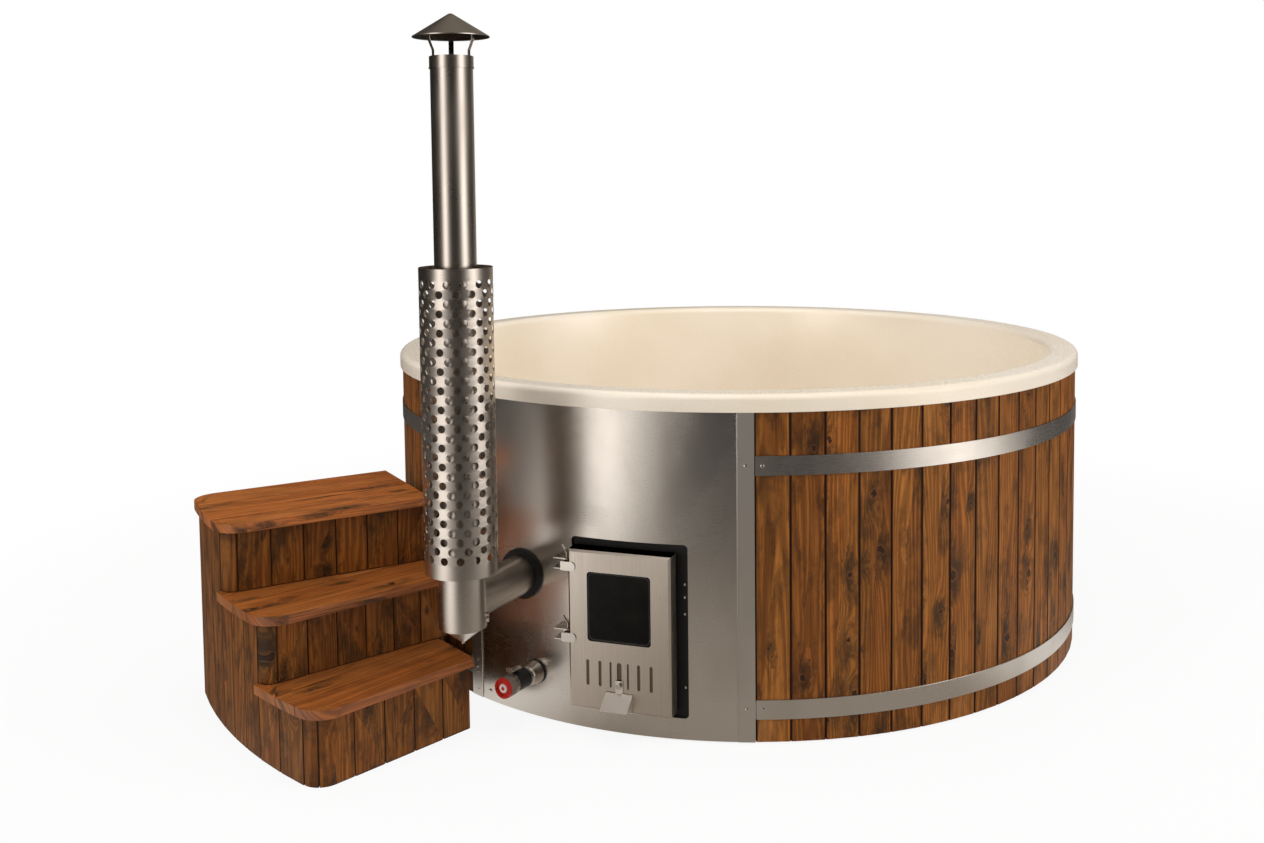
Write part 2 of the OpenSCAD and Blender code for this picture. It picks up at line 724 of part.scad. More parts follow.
// A barrel turns on each pin, and its strap lies on the door's face.
module door_hinge_lugs() color(steel) for (z = [hinge_upper_z, hinge_lower_z]) {
    low = z - barrel_h - gap;
    face = door_front + gap;
    difference() {
        union() {
            translate([hinge_x, -hinge_y, low]) cylinder(r = barrel_r, h = barrel_h);
            translate([hinge_x - barrel_r, -face - 3, low])
                cube([barrel_r - hinge_pin_r + 1, face + 3 - hinge_y, barrel_h]);
            translate([hinge_x - barrel_r, -face - 3, low]) cube([barrel_r + 22, 3, barrel_h]);
            facing(face + 3, face, low, hinge_x + 22) intersection() {
                translate([0, barrel_h / 2]) circle(barrel_h / 2);
                translate([0, 0]) square([barrel_h, barrel_h]);
            }
        }
        translate([hinge_x, -hinge_y, low - cutter])
            cylinder(r = hinge_pin_r + 0.06, h = barrel_h + 2 * cutter);
    }
}

// A spring tongue on the free edge, which snaps against the frame's mouth.
module door_catch() color(steel) {
    z = door_z + door_h / 2;
    tongue_x = mouth_w / 2 - 6;
    translate([tongue_x - 3, -door_back - 4 + gap, z - 15]) cube([3, door_back + 4 - frame_y + 8, 30]);
}

/* ---- Air shutter ---- */

module air_shutter() color(dark_steel) difference() {
    facing(door_front - door_t - gap, door_front - door_t - gap - 2, shutter_z)
        square_from_middle(shutter_w, shutter_h);
    translate([0, -door_front - cutter, stud_z]) rotate([-90, 0, 0])
        cylinder(r = stud_r + 0.1, h = 2 * door_t + 10);
}

// A shouldered stud through the middle slot, with a nut inside and a knob outside.
module shutter_stud() color(steel) {
    facing(door_front + 12, door_front - door_t - 4, stud_z) circle(stud_r);
    facing(door_front - door_t - gap - 2, door_front - door_t - 6, stud_z) circle(r = 7, $fn = 6);
    facing(door_front + 12, door_front + 6, stud_z) circle(8);
}

// A folded flap: a short foot on the stud, a shelf that slopes out and down, and two cheeks.
module shutter_handle() color(steel) {
    face = door_front + 1;
    top = stud_z - 22;
    drop = 34;
    sheet = 2;
    difference() {
        translate([-11, -face - sheet, top - 4]) cube([22, sheet, 40]);
        facing(face + sheet + cutter, face - cutter, stud_z) circle(stud_r + 0.1);
    }
    rotate([90, 0, 90]) translate([0, 0, -handle_w / 2]) linear_extrude(handle_w)
        polygon([[-face, top], [-face - sheet, top], [-face - handle_out, top - drop],
            [-face - handle_out, top - drop - sheet], [-face - handle_out + 1, top - drop - sheet],
            [-face, top - sheet]]);
    for (x = [-handle_w / 2, handle_w / 2 - sheet])
        rotate([90, 0, 90]) translate([0, 0, x]) linear_extrude(sheet)
            polygon([[-face, top - 0.5], [-face - handle_out * 0.72, top - drop * 0.72 - 1],
                [-face, top - 50]]);
}

/* ---- Chimney ---- */

// A rubber ring that hugs the curved sheet round the flue hole.
module flue_collar_ring() color(black) difference() {
    intersection() {
        on_flue() translate([0, 0, -40]) cylinder(r = branch_r + 17, h = 80);
        cylinder(r = sheet_r + 10, h = tub_h, $fn = 360);
    }
    cylinder(r = sheet_r + gap, h = tub_h, $fn = 360);
    on_flue() translate([0, 0, -50]) cylinder(r = branch_r + gap, h = 100);
}

module flue_tee() color(steel) difference() {
    union() {
        on_chimney() translate([0, 0, tee_z]) cylinder(r = tee_r, h = tee_top - tee_z);
        on_flue() translate([0, 0, -25]) cylinder(r = branch_r, h = flue_reach + 25);
        on_chimney() toward(112) translate([0, 0, tee_z + 22]) rotate([90, 0, 0])
            cylinder(r = 13, h = tee_r + 6);
    }
    on_chimney() translate([0, 0, tee_z - cutter])
        cylinder(r = tee_r - pipe_t, h = tee_top - tee_z - 15 + cutter);
    on_chimney() translate([0, 0, tee_top - 16]) cylinder(r = pipe_r + gap, h = 17);
    on_flue() translate([0, 0, -26]) cylinder(r = branch_r - pipe_t, h = flue_reach + 26);
}

// The cup's wall plugs into the tee, and its cone sheds the condensate.
module condensate_cup() color(steel) on_chimney() {
    tube(tee_r - pipe_t - gap, tee_r - pipe_t - gap - 2, tee_z + 1, tee_z + 5);
    translate([0, 0, tee_z - 2]) cylinder(r = tee_r, h = 2 - gap / 2);
    translate([0, 0, tee_z - 2 - cup_cone]) cylinder(r1 = 5, r2 = tee_r - 4, h = cup_cone);
    translate([0, 0, tee_z - 2 - cup_cone - 4]) cylinder(r = 5, h = 5);
    translate([0, 0, tee_z - 1]) cylinder(r = tee_r - pipe_t - gap, h = 4);
}

module chimney_pipe() color(steel) on_chimney() tube(pipe_r, pipe_r - pipe_t, tee_top - 60, pipe_top);

module pipe_top_band() color(steel) on_chimney() {
    tube(pipe_r + gap + 1.5, pipe_r + gap, pipe_top - 30, pipe_top - 1);
    tube(pipe_r + gap + 3, pipe_r + gap, pipe_top - 33, pipe_top - 30);
}

// The guard is a sheet folded into narrow flats, two for each column of holes.
function ring_points(r, n) = [for (i = [0:n - 1]) r * [sin((i + 0.5) * 360 / n), cos((i + 0.5) * 360 / n)]];

module heat_guard() color(steel) on_chimney() difference() {
    sides = 2 * hole_cols;
    flat = 2 * guard_r * sin(180 / sides);
    margin = 52;
    pitch = (guard_top - guard_z - margin - 42) / (hole_rows - 1);
    hole = min(hole_r, flat / 2 - 0.3);
    translate([0, 0, guard_z]) linear_extrude(guard_top - guard_z) difference() {
        polygon(ring_points(guard_r, sides));
        polygon(ring_points(guard_r - guard_t, sides));
    }
    for (row = [0:hole_rows - 1], i = [0:hole_cols - 1])
        rotate([0, 0, (i + (row % 2) / 2) * 360 / hole_cols])
            translate([0, -guard_r + 8, guard_z + margin + row * pitch])
                rotate([90, 0, 0]) cylinder(r = hole, h = 16, $fn = 32);
}

// Three brackets at each end keep the guard off the pipe and the tee.
module guard_spacers() color(steel) on_chimney() {
    reach = (guard_r - guard_t) * cos(90 / hole_cols) - wide_gap;
    for (i = [0:2]) toward(i * 120 + 45) {
        translate([-10, -reach, tee_top - 45]) cube([20, reach - tee_r - gap, 2.5]);
        translate([-10, -reach, tee_top - 45]) cube([20, 2, 25]);
        translate([-10, -reach, guard_top - 40]) cube([20, reach - pipe_r - gap, 2.5]);
        translate([-10, -reach, guard_top - 40]) cube([20, 2, 25]);
    }
}

module cap_cone() color(steel) on_chimney() translate([0, 0, cap_z]) difference() {
    union() {
        cylinder(r = cap_r, h = 2.5);
        translate([0, 0, 2.5]) cylinder(r1 = cap_r, r2 = 5, h = cap_h - 2.5);
    }
    translate([0, 0, -cutter]) cylinder(r = cap_r - 1.5, h = 2.5 + cutter);
    translate([0, 0, 2.4]) cylinder(r1 = cap_r - 1.5, r2 = 3, h = cap_h - 5.5);
}

// Three bent straps stand inside the pipe and flare out under the cone.
module cap_legs() color(steel) on_chimney() {
    strap_w = 14;
    strap_t = 2;
    foot_r = sqrt(pow(pipe_r - pipe_t - gap, 2) - pow(strap_w / 2, 2));
    head_r = cap_r * 0.66;
    head_z = cap_z + (cap_h - 5.5) * (cap_r - 1.5 - head_r) / (cap_r - 4.5) + 3.1;
    bend_z = pipe_top + 14;
    for (i = [0:2]) toward(i * 120 + 87)
        rotate([90, 0, 90]) translate([0, 0, -strap_w / 2]) linear_extrude(strap_w)
            polygon([[-foot_r, pipe_top - 45], [-foot_r, bend_z], [-head_r, head_z - 28],
                [-head_r, head_z - 1.4], [-head_r + strap_t, head_z], [-head_r + strap_t, head_z - 29],
                [-foot_r + strap_t, bend_z - 1], [-foot_r + strap_t, pipe_top - 45]]);
}

/* ---- Drain ---- */

module drain_gasket() color(black) difference() {
    intersection() {
        on_drain() translate([0, 0, -30]) cylinder(r = drain_r + 11, h = 60);
        cylinder(r = sheet_r + 6, h = tub_h, $fn = 360);
    }
    cylinder(r = sheet_r + gap, h = tub_h, $fn = 360);
    on_drain() translate([0, 0, -40]) cylinder(r = drain_r + gap, h = 80);
}

module drain_tube() color(steel) on_drain() difference() {
    union() {
        translate([0, 0, -drain_in]) cylinder(r = drain_r, h = drain_in + tube_end);
        translate([0, 0, tube_end - 8]) cylinder(r = drain_r + 3, h = 8);
    }
    translate([0, 0, -drain_in - cutter]) cylinder(r = drain_r - 2, h = drain_in + tube_end + 2 * cutter);
}

// A pierced cup over the tube's inner end.
module drain_strainer() color(steel) on_drain() translate([0, 0, -drain_in]) difference() {
    translate([0, 0, -8]) cylinder(r = drain_r + 3, h = 20);
    translate([0, 0, -5.5]) cylinder(r = drain_r + gap, h = 20);
    for (i = [0:7]) rotate([0, 0, i * 45]) translate([15, 0, -9]) cylinder(r = 3, h = 5);
}

module valve_body() color(black) on_drain() difference() {
    mid = (valve_from + valve_to) / 2;
    union() {
        translate([0, 0, valve_from]) cylinder(r = valve_r, h = valve_len);
        translate([0, 0, valve_to - 1]) cylinder(r = nipple_r, h = nipple_to - valve_to + 1);
        translate([0, 0, mid]) rotate([-90, 0, 0]) cylinder(r = 11, h = lever_z - 2);
    }
    translate([0, 0, valve_from - cutter]) cylinder(r = drain_bore, h = nipple_to - valve_from + 2 * cutter);
    translate([0, 0, mid]) sphere(r = ball_r + gap);
    translate([0, 0, mid]) rotate([-90, 0, 0]) cylinder(r = stem_r + 0.06, h = lever_z + cutter);
}

// The bored ball and its stem turn with the lever.
module valve_ball() color(steel) on_drain() translate([0, 0, (valve_from + valve_to) / 2]) {
    difference() {
        sphere(r = ball_r);
        translate([0, 0, -ball_r - cutter]) cylinder(r = drain_bore - 1, h = 2 * ball_r + 2 * cutter);
    }
    rotate([-90, 0, 0]) translate([0, 0, ball_r - 2]) cylinder(r = stem_r, h = lever_z - ball_r + 8);
}

module valve_lever() color(steel) on_drain() translate([0, 0, (valve_from + valve_to) / 2]) {
    difference() {
        union() {
            rotate([-90, 0, 0]) translate([0, 0, lever_z]) cylinder(r = 10, h = 4);
            translate([-8, lever_z, 0]) cube([16, 4, 46]);
            translate([-8, lever_z, 42]) cube([16, 14, 4]);
        }
        rotate([-90, 0, 0]) translate([0, 0, lever_z - cutter]) cylinder(r = stem_r + 0.05, h = 4 + 2 * cutter);
    }
}

module drain_coupling() color(steel) on_drain() {
    tube(nipple_r + 6, nipple_r + gap, ring_from, ring_from + ring_len);
    for (i = [0:17]) rotate([0, 0, i * 20]) translate([nipple_r + 5.8, -1.5, ring_from + 2])
        cube([1.4, 3, ring_len - 4]);
}

module drain_cap() color("#b5281f") on_drain() {
    difference() {
        translate([0, 0, plug_from]) cylinder(r = plug_r, h = plug_len);
        translate([0, 0, plug_from - cutter]) cylinder(r = nipple_r + gap, h = nipple_to - plug_from + 1 + cutter);
        translate([0, 0, plug_from + plug_len - 4]) cylinder(r = plug_r - 7, h = 5);
    }
    translate([0, 0, plug_from + plug_len - 4.5]) cylinder(r = plug_r - 17, h = 3.5);
    for (i = [0:23]) rotate([0, 0, i * 15]) translate([plug_r - 0.2, -1.5, plug_from + 5])
        cube([1.2, 3, plug_len - 10]);
}

/* ---- Steps ---- */
// In the steps' own frame the inner side lies near y = -steps_in and the first riser is at the
// greatest x. Riser k starts at its inner end; number 3 is the back of the steps.

function skew(k) = riser_skew - (k > 0 ? fan_lower : 0) - (k > 1 ? fan_upper : 0);
function side_skew(k) = skew(k) / 2;
function riser_at(k) = riser_x - (k > 0 ? going_lower : 0) - (k > 1 ? going_upper : 0)
    - (k > 2 ? (platform - back_over) / cos(skew(2)) : 0);
function tread_top(k) = rise_lower + (k > 0 ? rise_middle : 0) + (k > 1 ? rise_upper : 0);
function wall_top(k) = tread_top(k) - tread_t - gap;

// Unit vectors along riser k, away from the tub, and square to it, towards the front.
function along(k) = [sin(skew(k)), -cos(skew(k))];
function ahead(k) = (k < 3 ? 1 : -1) * [cos(skew(k)), sin(skew(k))];
// Centre of a bend of radius r between riser k, moved out, and a circle round the tub's axis.
function bend_foot(k, out, r) = [riser_at(k), -steps_in] + (out - r) * ahead(k);
function bend_run(k, out, ring, r) = let (q = bend_foot(k, out, r), d = q * along(k))
    sqrt(d * d - q * q + pow(ring - r, 2)) - d;
function bend_at(k, out, ring, r) = bend_foot(k, out, r) + bend_run(k, out, ring, r) * along(k);
function bend_a(p) = atan2(p[0], -p[1]);

function upper(k) = k == 1 || k == 2;
function wall_bend(k) = upper(k) ? corner_up_r : corner_r;
function corner_at(k) = bend_at(k, 0, steps_r, wall_bend(k));
function corner_run(k) = bend_run(k, 0, steps_r, wall_bend(k));
function corner_a(k) = bend_a(corner_at(k));

// The frame of riser k: x = 0 is its face, and -Y runs along it, away from the tub.
module at_riser(k) translate([riser_at(k), -steps_in, 0]) rotate([0, 0, skew(k)]) children();
module at_side(k) translate([riser_at(k), -steps_in, 0]) rotate([0, 0, side_skew(k)]) children();

// A tread's corner: what lies outside the bend, and the disc that fills the bend.
module corner_cut(k, out) {
    p = bend_at(k, out, tread_r, tread_round);
    a = 3 * tread_round * ahead(k);
    b = 3 * tread_round * [sin(bend_a(p)), -cos(bend_a(p))];
    polygon([p, p + a, p + a + b, p + b]);
}
module corner_disc(k, out) translate(bend_at(k, out, tread_r, tread_round)) circle(tread_round);

module tread_outline(k) {
    difference() {
        intersection() {
            circle(r = tread_r, $fn = 360);
            at_riser(k) translate([nosing - span, -span]) square([span, 2 * span]);
            if (k == 2) at_riser(3) translate([-back_over, -span]) square([span, 2 * span]);
        }
        corner_cut(k, nosing);
        if (k == 2) corner_cut(3, back_over);
    }
    corner_disc(k, nosing);
    if (k == 2) corner_disc(3, back_over);
}

// Where a tread may lie behind: up to the next riser, and round that riser's outer corner.
module tread_reach(k) {
    at_riser(k + 1) translate([-(k < 2 ? clad_t - 1 : 30), -span]) square([span, 2 * span]);
    if (k < 2) {
        p = corner_at(k + 1) - 6 * along(k + 1);
        q = (tread_r + 50) * [sin(corner_a(k + 1) + 0.03), -cos(corner_a(k + 1) + 0.03)];
        polygon([p, q, q + span * ahead(k + 1), p + span * ahead(k + 1)]);
    }
}

// Boards run along the riser; the last one takes what is left behind the others.
module tread(k, boards) color(wood) toward(steps_a)
    translate([0, 0, tread_top(k) - tread_t]) linear_extrude(tread_t) intersection() {
        tread_outline(k);
        at_side(k) translate([-span, inner_over - span]) square([2 * span, span]);
        tread_reach(k);
        at_riser(k) for (i = [0:boards - 1]) {
            near = i == 0 ? nosing + 60 : nosing - i * tread_board - tread_joint / 2;
            far = i == boards - 1 ? -span : nosing - (i + 1) * tread_board + tread_joint / 2;
            translate([far, -span]) square([near - far, 2 * span]);
        }
    }

module tread_lower() tread(0, 3);
module tread_middle() tread(1, 3);
module tread_upper() tread(2, 4);

// Upright boards of riser k, then one or two boards round its outer corner.
module riser_wall(k, from, low, high) {
    lead = upper(k) ? 0 : corner_lead;
    length = corner_run(k) - lead - from;
    count = round(length / clad_w);
    inside = k < 3 ? -clad_t : 0;
    at_riser(k) for (i = [0:count - 1])
        translate([inside, -from - (i + 1) * length / count + 0.75, low])
            cube([clad_t, length / count - 1.5, high - low]);
    if (!upper(k)) at_riser(k) translate([inside, -corner_run(k), low])
        cube([clad_t, lead - 0.75, high - low]);
    side = k < 3 ? 90 + skew(k) : skew(k) - 90;
    mid = (corner_a(k) + side) / 2;
    half_joint = k < 3 ? 0.6 : -0.6;
    arcs = upper(k) ? [[corner_a(k) + 0.8, side]]
        : [[corner_a(k) + half_joint, mid - half_joint], [mid + half_joint, side]];
    translate([corner_at(k)[0], corner_at(k)[1], 0]) for (arc = arcs)
        arc_band(wall_bend(k) - clad_t, wall_bend(k), low, high, min(arc), max(arc));
}

// Each riser stands on the tread below it, the lower one on the floor.
module step_risers() color(wood) toward(steps_a) for (k = [0:2])
    riser_wall(k, 0, k == 0 ? 0 : tread_top(k - 1) + gap, wall_top(k));

// Upright boards round the outer arc, along the inner side and across the back.
module step_side_wall() color(wood) toward(steps_a) {
    for (k = [0:2]) {
        turn = corner_a(k) - corner_a(k + 1);
        count = round(turn * PI / 180 * steps_r / clad_w);
        board = 2 * steps_r * tan(turn / count / 2) - 2;
        for (i = [0:count - 1]) toward(corner_a(k) - (i + 0.5) * turn / count)
            translate([-board / 2, -steps_r, 0]) cube([board, clad_t, wall_top(k)]);
        reach = (riser_at(k) - riser_at(k + 1)) / cos(side_skew(k)) - (k < 2 ? 2 : clad_t + 2);
        length = reach - clad_t - 2;
        side_count = round(length / clad_w);
        at_side(k) for (i = [0:side_count - 1])
            translate([-clad_t - 2 - (i + 1) * length / side_count + 0.5, -clad_t, 0])
                cube([length / side_count - 1, clad_t, wall_top(k)]);
    }
    riser_wall(3, 11, 0, wall_top(2));
}

// Under each tread two bearers lie on legs: behind its riser, and in front of the next one.
module step_frame() color(raw_wood) toward(steps_a) for (k = [0:2]) {
    step_bearer(k, -clad_t - gap - bearer, 20, wall_top(k));
    step_bearer(k + 1, k < 2 ? 4 : clad_t + gap, k < 2 ? 60 : 32, wall_top(k));
}

module step_bearer(k, x, from, top) {
    length = corner_run(k) - 12 - from;
    at_riser(k) translate([x, -from - length, 0]) {
        translate([0, 0, top - bearer]) cube([bearer, length, bearer]);
        for (y = [0, length - bearer]) translate([0, y, 0]) cube([bearer, bearer, top - bearer]);
    }
}

/* ---- Node switch ---- */
carrier_rings();
frame_posts();
base_frame();
liner_shell();
liner_floor();
bench_seat();
heater_fence();
staves_right();
staves_back();
staves_left();
hoop_upper();
hoop_lower();
hoop_screws();
front_panel();
panel_battens();
panel_strip_left();
panel_strip_right();
panel_rivets();
furnace_body();
furnace_seals();
flange_bolts();
furnace_frame();
fire_grate();
ash_tray();
smoke_baffle();
hinge_ears();
hinge_pins();
door_shell();
door_back_plate();
door_rope_seal();
door_glass();
glass_retainer();
door_hinge_lugs();
door_catch();
air_shutter();
shutter_stud();
shutter_handle();
flue_collar_ring();
flue_tee();
condensate_cup();
chimney_pipe();
pipe_top_band();
heat_guard();
guard_spacers();
cap_cone();
cap_legs();
drain_gasket();
drain_tube();
drain_strainer();
valve_body();
valve_ball();
valve_lever();
drain_coupling();
drain_cap();
tread_lower();
tread_middle();
tread_upper();
step_risers();
step_side_wall();
step_frame();
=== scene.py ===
"""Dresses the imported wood-fired hot tub for Blender: materials, finer pieces, studio and camera.

Everything is in metres, in the frame of the CAD: +Z up, the furnace door faces -Y, and the
tub's axis is the Z axis. Directions round the tub are angles from -Y, positive towards +X.
"""
import math

import bpy
from mathutils import Matrix, Vector


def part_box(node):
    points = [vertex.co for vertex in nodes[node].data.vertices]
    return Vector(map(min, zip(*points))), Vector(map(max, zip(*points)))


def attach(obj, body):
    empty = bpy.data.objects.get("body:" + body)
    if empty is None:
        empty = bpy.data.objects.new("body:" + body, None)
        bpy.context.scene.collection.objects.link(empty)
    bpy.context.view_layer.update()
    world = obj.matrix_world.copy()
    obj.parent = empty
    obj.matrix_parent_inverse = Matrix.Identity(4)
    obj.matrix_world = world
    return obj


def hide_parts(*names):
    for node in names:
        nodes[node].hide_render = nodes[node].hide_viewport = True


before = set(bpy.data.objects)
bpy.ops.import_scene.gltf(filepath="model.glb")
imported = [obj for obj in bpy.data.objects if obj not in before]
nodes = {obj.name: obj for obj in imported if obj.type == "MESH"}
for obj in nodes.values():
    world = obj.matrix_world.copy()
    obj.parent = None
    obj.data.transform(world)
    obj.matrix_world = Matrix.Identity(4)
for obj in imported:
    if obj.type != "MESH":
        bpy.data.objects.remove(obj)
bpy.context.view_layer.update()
scene = bpy.context.scene

# ---- Places taken from the frame ----
MM = 0.001
pipe_low, pipe_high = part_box("chimney_pipe")
guard_low, guard_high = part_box("heat_guard")
CHIMNEY = Vector(((pipe_low.x + pipe_high.x) / 2, (pipe_low.y + pipe_high.y) / 2, 0))
DRAIN_TURN = math.radians(-14.1)
DRAIN_OUT = Vector((math.sin(DRAIN_TURN), -math.cos(DRAIN_TURN), 0))
DRAIN = Vector((0, 0, 0.140))         # a point of the drain's axis, over the tub's axis
cap_face = max((v.co - DRAIN).dot(DRAIN_OUT) for v in nodes["drain_cap"].data.vertices)
STEPS_TURN = math.radians(-42.7)      # the steps' own frame is turned this far
RISER_SKEW = (20, 13, 3)              # degrees, lower to upper riser


def srgb(r, g, b):
    """A linear colour from 0-255 screen values."""
    def one(c):
        c /= 255
        return c / 12.92 if c <= 0.04045 else ((c + 0.055) / 1.055) ** 2.4
    return (one(r), one(g), one(b), 1.0)


# ---- Node builder ----
class Nodes:
    """Adds nodes to a tree; each method returns an output to feed into the next."""

    def __init__(self, tree):
        self.tree = tree
        tree.nodes.clear()

    def node(self, kind, ins=None, **props):
        n = self.tree.nodes.new(kind)
        for key, value in props.items():
            setattr(n, key, value)
        for key, value in (ins or {}).items():
            self.feed(n.inputs[key], value)
        return n

    def feed(self, socket, value):
        if isinstance(value, bpy.types.NodeSocket):
            self.tree.links.new(value, socket)
        else:
            socket.default_value = value

    def math(self, op, a, b=0.0, c=0.0):
        return self.node("ShaderNodeMath", {0: a, 1: b, 2: c}, operation=op).outputs[0]

    def add(self, *values):
        total = values[0]
        for value in values[1:]:
            total = self.math("ADD", total, value)
        return total

    def times(self, *values):
        total = values[0]
        for value in values[1:]:
            total = self.math("MULTIPLY", total, value)
        return total

    def vector(self, op, a, b=(0, 0, 0)):
        n = self.node("ShaderNodeVectorMath", {0: a, 1: b}, operation=op)
        return n.outputs["Value"] if op in ("LENGTH", "DOT_PRODUCT") else n.outputs["Vector"]

    def join(self, x, y, z=0.0):
        return self.node("ShaderNodeCombineXYZ", {0: x, 1: y, 2: z}).outputs[0]

    def split(self, value):
        return self.node("ShaderNodeSeparateXYZ", {0: value}).outputs

    def noise(self, where, scale=1.0, detail=3.0, rough=0.5):
        return self.node("ShaderNodeTexNoise", {"Vector": where, "Scale": scale,
                                                "Detail": detail, "Roughness": rough}).outputs[0]

    def remap(self, value, a, b, low=0.0, high=1.0, smooth=True):
        """Takes a..b to low..high and holds the ends, smoothly or in a straight line."""
        n = self.node("ShaderNodeMapRange", {0: value, 1: a, 2: b, 3: low, 4: high},
                      interpolation_type="SMOOTHSTEP" if smooth else "LINEAR")
        return n.outputs[0]

    def mix(self, factor, a, b, blend="MIX"):
        n = self.node("ShaderNodeMix", data_type="RGBA", blend_type=blend)
        for socket, value in zip((n.inputs[0], n.inputs[6], n.inputs[7]), (factor, a, b)):
            self.feed(socket, value)
        return n.outputs[2]

    def band(self, angle, middle, half, soft):
        """1 inside a range of directions, in degrees, and 0 outside it."""
        off = self.math("ABSOLUTE", self.math("SUBTRACT", angle, math.radians(middle)))
        off = self.math("MINIMUM", off, self.math("SUBTRACT", 2 * math.pi, off))
        return self.remap(off, math.radians(half + soft), math.radians(half - soft))

    def studio_glow(self, x, y):
        """How bright the room is in a direction: a few pale walls in the dark."""
        turn = self.math("ARCTAN2", x, self.math("MULTIPLY", y, -1.0))
        glow = 0.03
        for middle, half, soft, level in STUDIO_WALLS:
            glow = self.math("MULTIPLY_ADD", self.band(turn, middle, half, soft), level, glow)
        return glow

    def room_tint(self, glow):
        """Warm in the dark of the room and nearly white where it is bright."""
        return self.mix(self.remap(glow, 0.1, 1.0), (1.0, 0.86, 0.72, 1), (1.0, 0.97, 0.945, 1))


class Shader(Nodes):
    """Builds one material."""

    def __init__(self, name):
        self.mat = bpy.data.materials.new(name)
        self.mat.use_nodes = True
        super().__init__(self.mat.node_tree)
        self.out = self.node("ShaderNodeOutputMaterial")

    def place(self, scale=(1, 1, 1), turn=(0, 0, 0)):
        """Object coordinates in metres, turned and then scaled."""
        raw = self.node("ShaderNodeTexCoord").outputs["Object"]
        turned = self.node("ShaderNodeMapping", {"Vector": raw, "Rotation": turn}).outputs[0]
        return self.vector("MULTIPLY", turned, scale)

    def bump(self, height, distance, strength=1.0, normal=None):
        ins = {"Height": height, "Distance": distance, "Strength": strength}
        if normal is not None:
            ins["Normal"] = normal
        return self.node("ShaderNodeBump", ins).outputs[0]

    def surface(self, **ins):
        """Ends the material in a Principled shader and returns the material."""
        names = {k.replace("_", " "): v for k, v in ins.items()}
        shader = self.node("ShaderNodeBsdfPrincipled", names)
        self.tree.links.new(shader.outputs[0], self.out.inputs[0])
        return self.mat


# Middle, half width and softness in degrees, and brightness, of the walls that metal reflects
STUDIO_WALLS = ((-23, 11, 12, 2.9), (80, 14, 13, 2.9), (178, 20, 18, 0.38))
FILL = 0.30                           # the plain light from all round

# ---- Materials ----
BOARD_RADIUS = 1.19                   # turns an angle round the tub into metres along it
BOARD_RADIUS_MM = 1192
FULL_TURN = 6.2832
KNOT_CELLS = (10.5, 4.3)              # to a metre, across and along the grain
KNOT_FADE = 0.16                      # of a cell, at its border


